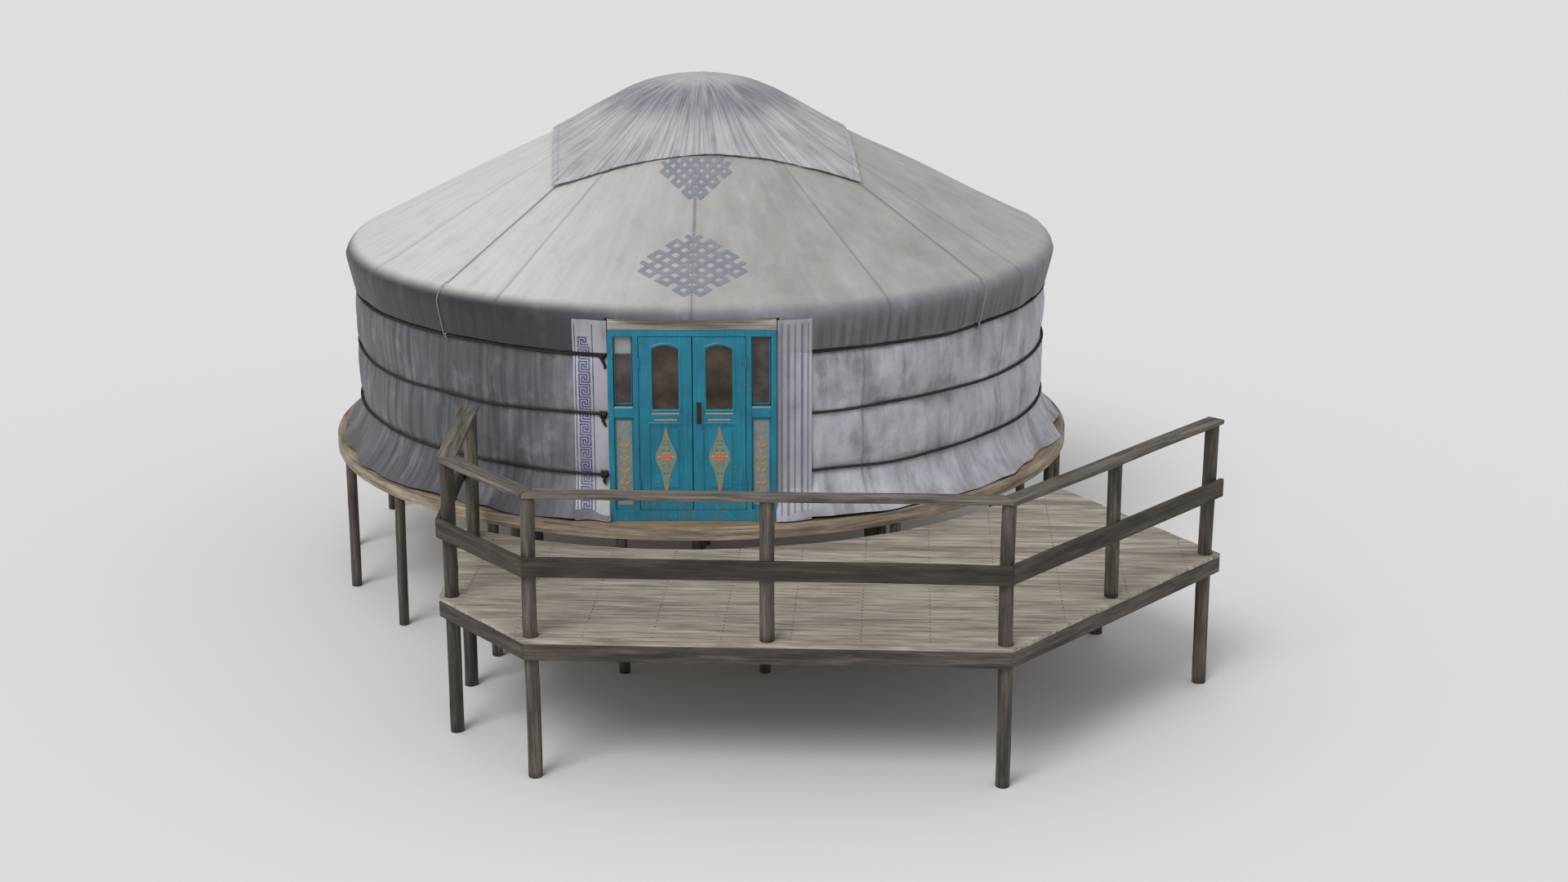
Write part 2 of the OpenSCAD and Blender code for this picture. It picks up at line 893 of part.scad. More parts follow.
door_leaf(1);  // right_leaf
leaf_glass(1);  // right_leaf_glass
leaf_hinges(1);  // right_leaf_hinges
door_handle();
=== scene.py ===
# Looks of the yurt on its round platform with a railed deck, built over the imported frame.
import math

import bmesh
import bpy
import numpy as np
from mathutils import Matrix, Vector


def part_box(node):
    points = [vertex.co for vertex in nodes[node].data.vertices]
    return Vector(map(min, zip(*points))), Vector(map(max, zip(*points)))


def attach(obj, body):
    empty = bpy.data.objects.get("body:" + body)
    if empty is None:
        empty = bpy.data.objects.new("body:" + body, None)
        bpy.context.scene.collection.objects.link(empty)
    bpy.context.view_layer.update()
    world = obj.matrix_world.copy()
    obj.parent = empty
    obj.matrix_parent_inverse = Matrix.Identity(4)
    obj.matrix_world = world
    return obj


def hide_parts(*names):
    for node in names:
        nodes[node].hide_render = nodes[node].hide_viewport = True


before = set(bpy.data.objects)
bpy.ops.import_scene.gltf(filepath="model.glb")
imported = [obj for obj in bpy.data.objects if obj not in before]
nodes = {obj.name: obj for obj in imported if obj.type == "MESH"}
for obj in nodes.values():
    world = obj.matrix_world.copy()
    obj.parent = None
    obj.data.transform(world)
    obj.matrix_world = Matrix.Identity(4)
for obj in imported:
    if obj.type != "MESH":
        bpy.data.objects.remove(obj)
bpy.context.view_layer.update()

# Posts under the platform and the deck: peeled softwood poles, not quite round or straight,
# silvered by the weather and sawn level. They stand on the ground and the rails are nailed to them.


def srgb(red, green, blue):
    """Linear colour of one written in 0 to 255."""
    parts = [c / 255 for c in (red, green, blue)]
    return tuple(c / 12.92 if c < 0.04 else ((c + 0.055) / 1.055) ** 2.4 for c in parts) + (1.0,)


class Wire:
    """A socket in a node tree. Operators add Math nodes, and add() puts in any other node."""

    def __init__(self, tree, socket=None):
        self.tree = tree
        self.socket = socket

    def find(self, sockets, name):
        for socket in sockets:
            if socket.identifier == name:
                return socket
        return sockets[name]

    def add(self, kind, settings=(), inputs=(), out=0):
        node = self.tree.nodes.new(kind)
        for name, value in dict(settings).items():
            setattr(node, name, value)
        for name, value in dict(inputs).items():
            socket = self.find(node.inputs, name)
            if isinstance(value, Wire):
                self.tree.links.new(value.socket, socket)
            else:
                socket.default_value = value
        if not node.outputs:
            return None
        found = self.find(node.outputs, out) if isinstance(out, str) else node.outputs[out]
        return Wire(self.tree, found)

    def out(self, name):
        return Wire(self.tree, self.find(self.socket.node.outputs, name))

    def math(self, operation, *values):
        terms = dict(zip(("Value", "Value_001", "Value_002"), values))
        return self.add("ShaderNodeMath", {"operation": operation}, terms)

    def __add__(self, other):
        return self.math("ADD", self, other)

    def __sub__(self, other):
        return self.math("SUBTRACT", self, other)

    def __rsub__(self, other):
        return self.math("SUBTRACT", other, self)

    def __mul__(self, other):
        return self.math("MULTIPLY", self, other)

    def __truediv__(self, other):
        return self.math("DIVIDE", self, other)

    __radd__ = __add__
    __rmul__ = __mul__

    def step(self, low, high):
        """0 below low, 1 above high, smooth between."""
        given = {"Value": self, "From Min": low, "From Max": high}
        return self.add("ShaderNodeMapRange", {"interpolation_type": "SMOOTHSTEP"}, given)

    def mix(self, base, over):
        """Colour base where this is 0 and over where it is 1."""
        given = {"Factor_Float": self, "A_Color": base, "B_Color": over}
        return self.add("ShaderNodeMix", {"data_type": "RGBA"}, given, "Result_Color")

    def stretch(self, factors):
        given = {"Vector": self, "Vector_001": factors}
        return self.add("ShaderNodeVectorMath", {"operation": "MULTIPLY"}, given)

    def noise(self, scale, detail=4.0, rough=0.55):
        given = {"Vector": self, "Scale": scale, "Detail": detail, "Roughness": rough}
        return self.add("ShaderNodeTexNoise", {}, given)

    def place(self):
        """Object coordinates of a surface."""
        return self.add("ShaderNodeTexCoord", out="Object")

    def split(self):
        """The x, y and z of this vector."""
        parts = self.add("ShaderNodeSeparateXYZ", {}, {"Vector": self})
        return [parts.out(axis) for axis in "XYZ"]

    def join(self, x, y, z):
        """A vector of three values."""
        return self.add("ShaderNodeCombineXYZ", {}, {"X": x, "Y": y, "Z": z})


def new_surface(name):
    made = bpy.data.materials.new(name)
    made.use_nodes = True
    made.node_tree.nodes.clear()
    return made, Wire(made.node_tree)


def close_surface(start, color, rough, height=None, bump=0.4, depth=0.004, fixed=()):
    """Ends a material in one shader, with its bump from a height."""
    given = {"Base Color": color, "Roughness": rough, **dict(fixed)}
    if height is not None:
        lift = {"Strength": bump, "Distance": depth, "Height": height}
        given["Normal"] = start.add("ShaderNodeBump", {}, lift)
    shader = start.add("ShaderNodeBsdfPrincipled", {}, given)
    start.add("ShaderNodeOutputMaterial", {}, {"Surface": shader})


def board_grain(start):
    """Grain frame and tone that each board or pole of a new piece carries itself."""
    along = start.add("ShaderNodeAttribute", {"attribute_name": "grain"}, out="Vector")
    tone = start.add("ShaderNodeAttribute", {"attribute_name": "tone"}, out="Fac")
    return along, tone


def timber(name, pale, mid, dark, grain, gloss=0.8, weather=1.0):
    """Timber with long fibres, checks, silvered streaks and stains; its grain runs along the frame's x."""
    made, start = new_surface(name)
    along, tone = grain(start)
    fibre = along.stretch((1.5, 30.0, 30.0)).noise(3.0, 7.0)
    check = along.stretch((0.8, 70.0, 70.0)).noise(2.2, 3.0)
    stain = along.stretch((0.7, 2.4, 2.4)).noise(2.0, 4.0)
    silver = along.stretch((1.0, 12.0, 12.0)).noise(2.0, 5.0, 0.65)
    bright = tuple(min(1.0, 1.5 * part) for part in pale[:3]) + (1.0,)
    crack = check.step(0.57, 0.65)
    color = fibre.step(0.3, 0.7).mix(mid, pale)
    color = (tone * 0.62).mix(color, mid)
    color = (silver.step(0.5, 0.64) * (0.6 * weather)).mix(color, bright)
    color = ((1 - silver.step(0.36, 0.5)) * (0.65 * weather)).mix(color, dark)
    color = (crack * 0.7).mix(color, dark)
    color = (stain.step(0.5, 0.78) * 0.55).mix(color, dark)
    color = (tone.step(0.55, 1.0) * 0.4).mix(color, dark)
    close_surface(start, color, gloss - fibre * 0.15, fibre * 0.5 - crack * 0.9, 0.5, 0.005)
    return made


class Pile:
    """Boards or poles gathered into one mesh, each with its own grain frame and tone."""

    def __init__(self, seed):
        self.random = np.random.default_rng(seed)
        self.points = []
        self.faces = []
        self.grain = []
        self.tone = []

    def add(self, points, faces, along):
        first = sum(len(p) for p in self.points)
        along = np.array(along, float)
        side = np.cross((0.0, 0.0, 1.0) if abs(along[2]) < 0.9 else (0.0, 1.0, 0.0), along)
        side /= np.linalg.norm(side)
        axes = np.stack([along, side, np.cross(along, side)], 1)
        self.points.append(points)
        self.faces += [[first + i for i in face] for face in faces]
        self.grain.append(points @ axes + self.random.uniform(-40, 40, 3))
        self.tone.append(np.full(len(points), self.random.uniform()))

    def mesh(self, name):
        made = bpy.data.meshes.new(name)
        made.from_pydata(np.concatenate(self.points).tolist(), [], self.faces)
        grain = made.attributes.new("grain", "FLOAT_VECTOR", "POINT")
        grain.data.foreach_set("vector", np.concatenate(self.grain).astype(np.float32).ravel())
        tone = made.attributes.new("tone", "FLOAT", "POINT")
        tone.data.foreach_set("value", np.concatenate(self.tone).astype(np.float32))
        return made


def split_solids(node):
    """The separate solids of a CAD node as merged meshes, in a fixed order."""
    whole = bmesh.new()
    whole.from_mesh(nodes[node].data)
    bmesh.ops.remove_doubles(whole, verts=whole.verts[:], dist=2e-5)
    whole.verts.index_update()
    group = np.full(len(whole.verts), -1)
    count = 0
    for vert in whole.verts:
        if group[vert.index] >= 0:
            continue
        group[vert.index] = count
        waiting = [vert]
        while waiting:
            for edge in waiting.pop().link_edges:
                for end in edge.verts:
                    if group[end.index] < 0:
                        group[end.index] = count
                        waiting.append(end)
        count += 1
    solids = []
    for number in range(count):
        solid = bmesh.new()
        new = {v.index: solid.verts.new(v.co) for v in whole.verts if group[v.index] == number}
        for face in whole.faces:
            if group[face.verts[0].index] == number:
                solid.faces.new([new[v.index] for v in face.verts])
        solids.append(solid)
    whole.free()

    def middle(solid):
        return [round(sum(v.co[i] for v in solid.verts) / len(solid.verts), 3) for i in (0, 1, 2)]
    return sorted(solids, key=middle)


def pole(low, high, random):
    """Points and faces of an upright pole that fills a CAD post's box."""
    sides = 18
    radius = (high[0] - low[0]) / 2
    rings = max(8, int((high[2] - low[2]) / 0.06))
    heights = np.linspace(low[2], high[2] - 0.004, rings)
    turn = np.linspace(0, 2 * math.pi, sides, endpoint=False)
    shape = np.full((rings + 1, sides), 0.945)
    for lobes in (2, 3, 5):
        twist = random.uniform(-0.6, 0.6) * np.append(heights, high[2])[:, None]
        shape += 0.05 / lobes * np.sin(lobes * turn[None, :] + random.uniform(0, 6) + twist)
    knots = random.uniform((low[2], 0), (high[2], 2 * math.pi), (5, 2))
    for level, side in knots:
        near = ((heights - level) / 0.05)[:, None] ** 2
        shape[:-1] += 0.05 * np.exp(-near - (2.2 * np.sin((turn[None, :] - side) / 2)) ** 2)
    shape = np.clip(shape, 0.8, 1.0)
    shape[-1] = shape[-2] * 0.93
    levels = np.append(heights, high[2])
    bend = 0.006 * np.sin(levels * random.uniform(1.5, 3) + random.uniform(0, 6))
    lean = random.uniform(0, 6.3)
    x = (low[0] + high[0]) / 2 + radius * shape * np.cos(turn) + (bend * math.cos(lean))[:, None]
    y = (low[1] + high[1]) / 2 + radius * shape * np.sin(turn) + (bend * math.sin(lean))[:, None]
    z = np.repeat(levels[:, None], sides, 1)
    points = np.stack([x, y, z], 2).reshape(-1, 3)
    faces = []
    for ring in range(0, rings * sides, sides):
        for i in range(sides):
            n = (i + 1) % sides
            faces.append([ring + i, ring + n, ring + sides + n, ring + sides + i])
    faces.append([sides - 1 - i for i in range(sides)])
    faces.append([rings * sides + i for i in range(sides)])
    return points, faces


def add_piece(name, mesh, body, slot, finish, *stands_for, smooth=True):
    """Puts a finished mesh into the scene on its body, in place of the CAD nodes it stands for."""
    mesh.materials.clear()
    mesh.materials.append(finish)
    mesh.polygons.foreach_set("use_smooth", [smooth] * len(mesh.polygons))
    piece = bpy.data.objects.new(name, mesh)
    bpy.context.scene.collection.objects.link(piece)
    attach(piece, body)
    if stands_for:
        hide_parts(*stands_for)
    return piece


pole_timber = timber("weathered pole", srgb(98, 91, 83), srgb(74, 67, 60), srgb(33, 29, 25), board_grain)
for seed, node in enumerate(("platform_posts", "deck_back_posts", "corner_posts", "rail_posts")):
    poles = Pile(11 + seed)
    for solid in split_solids(node):
        spots = np.array([v.co for v in solid.verts])
        poles.add(*pole(spots.min(0), spots.max(0), poles.random), (0, 0, 1))
        solid.free()
    add_piece(node.replace("posts", "poles"), poles.mesh(node), "yurt", "deck_timber", pole_timber, node)

# Timber under the floor and the deck: bearers, joists, the bent rim and the curved ledger.
# Rough sawn softwood, nailed; the parts keep their CAD shape and only get their grain here.


def lengthways(order):
    """Grain of straight timber whose length is the first of the three axes named."""
    def grain(start):
        parts = dict(zip("XYZ", start.place().split()))
        along = start.join(*[parts[axis] for axis in order])
        return along, along.stretch((0.2, 5.0, 5.0)).noise(1.0, 1.0)
    return grain


def round_grain(start):
    """Grain that follows a ring round the middle of the yurt."""
    x, y, z = start.place().split()
    angle = start.math("ARCTAN2", y, x) * 3.0
    along = start.join(angle, start.math("SQRT", x * x + y * y), z)
    return along, along.stretch((0.5, 0.0, 0.0)).noise(1.0, 1.0)


def dress(finish, *names):
    """Gives CAD nodes a finish."""
    for name in names:
        nodes[name].data.materials.clear()
        nodes[name].data.materials.append(finish)


under_tones = (srgb(120, 109, 95), srgb(96, 86, 74), srgb(52, 46, 39))
joist_timber = timber("rough sawn joist", *under_tones, lengthways("YXZ"))
cross_timber = timber("rough sawn cross joist", *under_tones, lengthways("XYZ"))
rim_timber = timber("rim timber", srgb(164, 150, 132), srgb(138, 124, 107), srgb(80, 70, 58), round_grain)
ledger_timber = timber("ledger timber", *under_tones, round_grain)
dress(joist_timber, "platform_bearers", "deck_joists")
dress(cross_timber, "platform_joists")
dress(rim_timber, "platform_rim")
dress(ledger_timber, "deck_ledger")

# Deck boards and floor boards: sawn planks laid side by side with a drying gap, nailed to each joist.
# The deck is grey from rain and feet; the floor inside is still brown.


def flatten(solid):
    """Joins a merged mesh's triangles into flat faces."""
    bmesh.ops.dissolve_limit(solid, angle_limit=0.006, verts=solid.verts[:], edges=solid.edges[:])


def work_board(solid, along, edge, step, warp, random):
    """Breaks a board's edges, cuts it across so that it can warp, and returns its points and faces."""
    along = Vector(along)
    sharp = [e for e in solid.edges if len(e.link_faces) == 2 and e.calc_face_angle(0) > 0.5]
    bmesh.ops.bevel(solid, geom=sharp, offset=edge, segments=1, profile=0.5, affect="EDGES",
                    clamp_overlap=True)
    reach = [v.co.dot(along) for v in solid.verts]
    for cut in np.arange(min(reach) + step, max(reach) - 0.1, step):
        parts = solid.verts[:] + solid.edges[:] + solid.faces[:]
        bmesh.ops.bisect_plane(solid, geom=parts, plane_co=along * float(cut), plane_no=along)
    bmesh.ops.recalc_face_normals(solid, faces=solid.faces[:])
    solid.verts.index_update()
    points = np.array([v.co for v in solid.verts])
    far = points @ np.array(along)
    side = np.array(along.cross(Vector((0, 0, 1))))
    for waves in (1.1, 2.7, 5.3):
        points[:, 2] += warp / waves * np.sin(waves * far + random.uniform(0, 6.3))
        points += np.outer(warp / waves * np.sin(waves * far + random.uniform(0, 6.3)), side)
    return points, [[v.index for v in f.verts] for f in solid.faces]


def sawn_planks(node, turn, width, gap, seed):
    """A CAD slab cut into planks that run along a direction turned from x."""
    along = Vector((math.cos(turn), math.sin(turn), 0))
    across = Vector((-along.y, along.x, 0))
    slab = bmesh.new()
    slab.from_mesh(nodes[node].data)
    bmesh.ops.remove_doubles(slab, verts=slab.verts[:], dist=2e-5)
    reach = [v.co.dot(across) for v in slab.verts]
    planks = Pile(seed)
    for start in np.arange(min(reach), max(reach), width):
        plank = slab.copy()
        for place, way in ((start + gap / 2, -1), (start + width - gap / 2, 1)):
            parts = plank.verts[:] + plank.edges[:] + plank.faces[:]
            bmesh.ops.bisect_plane(plank, geom=parts, plane_co=across * float(place), plane_no=across * way,
                                   clear_outer=True)
            bmesh.ops.holes_fill(plank, edges=[e for e in plank.edges if e.is_boundary], sides=0)
        if len(plank.faces) > 3:
            flatten(plank)
            planks.add(*work_board(plank, along, 0.003, 0.7, 0.0016, planks.random), along)
        plank.free()
    slab.free()
    return planks.mesh(node)


deck_turn = math.radians(-3.4)
plank_width = 0.135
plank_gap = 0.008
deck_timber = timber("deck boards", srgb(178, 170, 158), srgb(156, 148, 136), srgb(98, 90, 81),
                     board_grain, weather=0.8)
add_piece("deck_planks", sawn_planks("deck_boards", deck_turn, plank_width, plank_gap, 21),
          "yurt", "deck_timber", deck_timber, "deck_boards", smooth=False)
floor_timber = timber("floor boards", srgb(168, 140, 106), srgb(138, 110, 80), srgb(88, 66, 46),
                      board_grain, 0.65, 0.3)
add_piece("floor_planks", sawn_planks("floor", 0.0, 0.145, 0.004, 22),
          "yurt", "deck_timber", floor_timber, "floor", smooth=False)

# Nail heads on the deck: round wire nails, rusted brown. Two go through each plank into each joist,
# and their heads stand a little proud of the worn timber.


def grow(name, mesh, tree, sizes):
    """The plain mesh that a geometry tree makes from a carrier mesh, with the tree's inputs set by name."""
    carrier = bpy.data.objects.new(name, mesh)
    bpy.context.scene.collection.objects.link(carrier)
    modifier = carrier.modifiers.new(name, "NODES")
    modifier.node_group = tree
    for item in tree.interface.items_tree:
        if item.in_out == "INPUT" and item.name in sizes:
            modifier[item.identifier] = sizes[item.name]
    done = carrier.evaluated_get(bpy.context.evaluated_depsgraph_get())
    made = bpy.data.meshes.new_from_object(done)
    bpy.data.objects.remove(carrier)
    return made


def start_tree(name, floats):
    """A geometry tree with named sizes, and the wire of its group input."""
    tree = bpy.data.node_groups.new(name, "GeometryNodeTree")
    tree.interface.new_socket("Geometry", in_out="INPUT", socket_type="NodeSocketGeometry")
    for label in floats:
        tree.interface.new_socket(label, in_out="INPUT", socket_type="NodeSocketFloat")
    tree.interface.new_socket("Material", in_out="INPUT", socket_type="NodeSocketMaterial")
    tree.interface.new_socket("Geometry", in_out="OUTPUT", socket_type="NodeSocketGeometry")
    return tree, Wire(tree).add("NodeGroupInput")


def end_tree(given, shape):
    whole = given.add("GeometryNodeRealizeInstances", {}, {"Geometry": shape})
    done = given.add("GeometryNodeSetMaterial", {}, {"Geometry": whole, "Material": given.out("Material")})
    given.add("NodeGroupOutput", {}, {"Geometry": done})


nail_tree, given = start_tree("nail heads", ("Head radius", "Head height"))
head = given.add("GeometryNodeMeshCylinder", {"fill_type": "NGON"},
                 {"Vertices": 8, "Radius": given.out("Head radius"), "Depth": given.out("Head height")})
size = given.add("FunctionNodeRandomValue", {"data_type": "FLOAT_VECTOR"},
                 {"Min": (0.85, 0.85, 0.6), "Max": (1.15, 1.15, 1.2), "Seed": 5})
dots = given.add("GeometryNodeMeshToPoints", {}, {"Mesh": given})
nailed = {"Points": dots, "Instance": head, "Scale": size}
end_tree(given, given.add("GeometryNodeInstanceOnPoints", {}, nailed))


def rusted_iron(name, rust):
    made, start = new_surface(name)
    place = start.place()
    spots = place.noise(90.0, 5.0).step(0.5 - 0.3 * rust, 0.75 - 0.2 * rust)
    color = spots.mix(srgb(58, 56, 56), srgb(104, 66, 42))
    close_surface(start, color, 0.45 + spots * 0.4, place.noise(220.0, 3.0), 0.3, 0.001, {"Metallic": 0.7})
    return made


nail_iron = rusted_iron("nail iron", 0.8)
deck_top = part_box("deck_boards")[1].z
along = np.array((math.cos(deck_turn), math.sin(deck_turn), 0))
across = np.array((-along[1], along[0], 0))
deck_corners = np.array([v.co for v in nodes["deck_boards"].data.vertices])
first_row = (deck_corners @ across).min()
joist_lines = []
for solid in split_solids("deck_joists"):
    spots = np.array([v.co for v in solid.verts])
    joist_lines.append(((spots @ along).mean(), (spots @ across).min(), (spots @ across).max()))
    solid.free()
nail_spots = []
for joist, near, far in joist_lines:
    for row in np.arange(first_row, (deck_corners @ across).max(), plank_width):
        for share in (0.25, 0.75):
            back = row + share * plank_width
            if near + 0.03 < back < far - 0.03:
                nail_spots.append(along * joist + across * back + (0, 0, deck_top + 0.0006))
nail_carrier = bpy.data.meshes.new("nail spots")
nail_carrier.from_pydata([tuple(p) for p in nail_spots], [], [])
nail_mesh = grow("nail heads", nail_carrier, nail_tree,
                 {"Head radius": 0.005, "Head height": 0.003, "Material": nail_iron})
add_piece("deck_nails", nail_mesh, "yurt", "ironwork", nail_iron, smooth=False)

# Edge boards and rails of the deck: planks on edge round the joists, a flat cap rail on the posts
# and one board half way up, nailed to the outside of the posts. All grey, split and a little warped.


def worn_boards(node, name, edge, warp, finish, seed):
    boards = Pile(seed)
    for solid in split_solids(node):
        flatten(solid)
        spots = np.array([v.co for v in solid.verts])
        flat = spots[:, :2] - spots[:, :2].mean(0)
        way = np.linalg.svd(flat, full_matrices=False)[2][0]
        along = (way[0], way[1], 0)
        boards.add(*work_board(solid, along, edge, 0.3, warp, boards.random), along)
        solid.free()
    add_piece(name, boards.mesh(name), "yurt", "deck_timber", finish, node, smooth=False)


# The edge boards and middle rails are written much darker than the deck boards and cap rails: weathered
# timber with painted shade on their upright faces.
fascia_timber = timber("edge boards", srgb(90, 82, 75), srgb(66, 60, 54), srgb(32, 28, 25), board_grain)
cap_rail_timber = timber("cap rails", srgb(114, 107, 98), srgb(84, 78, 71), srgb(38, 34, 29), board_grain)
mid_rail_timber = timber("middle rails", srgb(72, 65, 56), srgb(52, 46, 39), srgb(24, 20, 16), board_grain)
worn_boards("deck_edge_boards", "edge_planks", 0.004, 0.002, fascia_timber, 31)
worn_boards("top_rails", "cap_rails", 0.006, 0.004, cap_rail_timber, 32)
worn_boards("mid_rails", "middle_rails", 0.006, 0.004, mid_rail_timber, 33)

# Frame of the yurt: crossed laths, roof poles, the crown with its arched spokes and two columns.
# Planed softwood with an orange-brown oil stain; the poles sit on the lattice heads and press on the crown.

pole_count = 81


def pole_grain(start):
    """Grain that runs up each roof pole, with a tone for each pole."""
    x, y, z = start.place().split()
    angle = start.math("ARCTAN2", x, y * -1.0) * (pole_count / (2 * math.pi))
    along = start.join(start.math("SQRT", x * x + y * y), angle * 0.2, z * 0.5)
    number = start.math("ROUND", angle)
    tone = start.add("ShaderNodeTexWhiteNoise", {"noise_dimensions": "1D"}, {"W": number})
    return along, tone.out("Value")


stain_tones = (srgb(196, 124, 66), srgb(168, 96, 46), srgb(104, 54, 26))
lath_stain = timber("stained laths", *stain_tones, lengthways("ZXY"), 0.6, 0.2)
pole_stain = timber("stained poles", *stain_tones, pole_grain, 0.6, 0.2)
crown_stain = timber("stained crown", *stain_tones, round_grain, 0.55, 0.2)
lattice_walls = [f"lattice_wall_{number}" for number in range(1, 6)]
dress(lath_stain, *lattice_walls, "crown_columns")
dress(pole_stain, "roof_poles")
dress(crown_stain, "crown_ring", "crown_spokes")

# Wall cover: heavy cotton canvas over felt, one length from jamb to jamb, gathered where three ropes
# pinch it in, with a loose skirt that spreads over the platform's edge.

floor_z = 1.2
rope_r = 2.955
rope_heights = (0.3493, 0.8249, 1.2956)
hem_flare = 0.195
door_edge = 0.6425
wall_top = 1.624
cover_back = 2.933
valance_back = 2.972


def folds(around, up, cells_around, cells_up, seed):
    """Smooth random height from -1 to 1 over a cover; it closes on itself all the way round."""
    table = np.random.default_rng(seed).uniform(-1, 1, (cells_up + 2, cells_around))
    x = np.asarray(around) * cells_around
    y = np.clip(np.asarray(up), 0, 1) * cells_up
    i = np.floor(x).astype(int)
    j = np.floor(y).astype(int)
    fx = x - i
    fy = y - j
    fx = fx * fx * (3 - 2 * fx)
    fy = fy * fy * (3 - 2 * fy)
    i0 = i % cells_around
    i1 = (i + 1) % cells_around
    lower = table[j, i0] * (1 - fx) + table[j, i1] * fx
    upper = table[j + 1, i0] * (1 - fx) + table[j + 1, i1] * fx
    return lower * (1 - fy) + upper * fy


def wall_profile(height):
    """Radius of the cover at a height above the floor, before its folds."""
    z = np.asarray(height, float)
    marks = (*rope_heights, wall_top + 0.08)
    radius = rope_r + hem_flare * np.clip((rope_heights[0] - z) / rope_heights[0], 0, 1) ** 1.6
    for low, high, bulge in zip(marks[:3], marks[1:], (0.024, 0.024, 0.012)):
        swell = np.sin(np.pi * np.clip((z - low) / (high - low), 0, 1)) ** 0.8
        radius = np.where((z > low) & (z < high), radius + bulge * swell, radius)
    return radius


def wall_radius(angle, height):
    """Radius of the cover with gathers at the ropes and waves in the skirt; angle from the door."""
    around = np.asarray(angle) / (2 * np.pi)
    z = np.asarray(height, float)
    up = z / wall_top
    free = np.ones_like(z + around)
    gather = np.zeros_like(free)
    for rope in rope_heights:
        free = free * (1 - np.exp(-((z - rope) / 0.035) ** 2))
        gather = gather + np.exp(-np.abs(z - rope) / 0.11)
    skirt = np.clip((rope_heights[0] - z) / rope_heights[0], 0, 1)
    radius = wall_profile(z) - 0.004 * (1 - free)
    fine = folds(around, up, 290, 7, 3)
    wide = folds(around, up, 120, 5, 4)
    sag = folds(around, up, 46, 4, 5)
    body = np.where(skirt > 0, 0.4, 1.0)
    radius = radius + free * gather * (0.005 * fine + 0.008 * wide)
    radius = radius + free * body * (0.002 * fine + 0.007 * wide + 0.014 * sag)
    wave = folds(around, up * 0.25, 52, 1, 6)
    ruffle = folds(around, up * 0.5, 125, 2, 7)
    radius = radius + skirt ** 1.1 * (0.040 * wave + 0.020 * ruffle) - 0.010 * skirt
    inside_valance = valance_back + 0.2 * np.clip(z - 1.32, 0, None) + np.where(z < 1.312, 0.5, 0.0)
    return np.clip(radius, cover_back, inside_valance)


def from_door(angle, radius, height):
    """Points in space from the angle at the door, the radius and the height above the floor."""
    return np.stack([radius * np.sin(angle), -radius * np.cos(angle), height + floor_z], -1)


def grid_mesh(name, points, uv, wrap=False):
    """Mesh over rows and columns of points, with a UV map in metres."""
    rows, columns = points.shape[:2]
    i, j = np.meshgrid(np.arange(rows - 1), np.arange(columns if wrap else columns - 1), indexing="ij")
    corners = [(i, j), (i, j + 1), (i + 1, j + 1), (i + 1, j)]
    quads = np.stack([a * columns + b % columns for a, b in corners], -1).reshape(-1, 4)
    made = bpy.data.meshes.new(name)
    made.from_pydata(points.reshape(-1, 3).tolist(), [], quads.tolist())
    spread = np.concatenate([uv, 2 * uv[:, -1:] - uv[:, -2:-1]], 1) if wrap else uv
    layer = made.uv_layers.new(name="flat")
    loops = np.stack([spread[a, b] for a, b in corners], 2).reshape(-1, 2)
    layer.data.foreach_set("uv", loops.astype(np.float32).ravel())
    return made


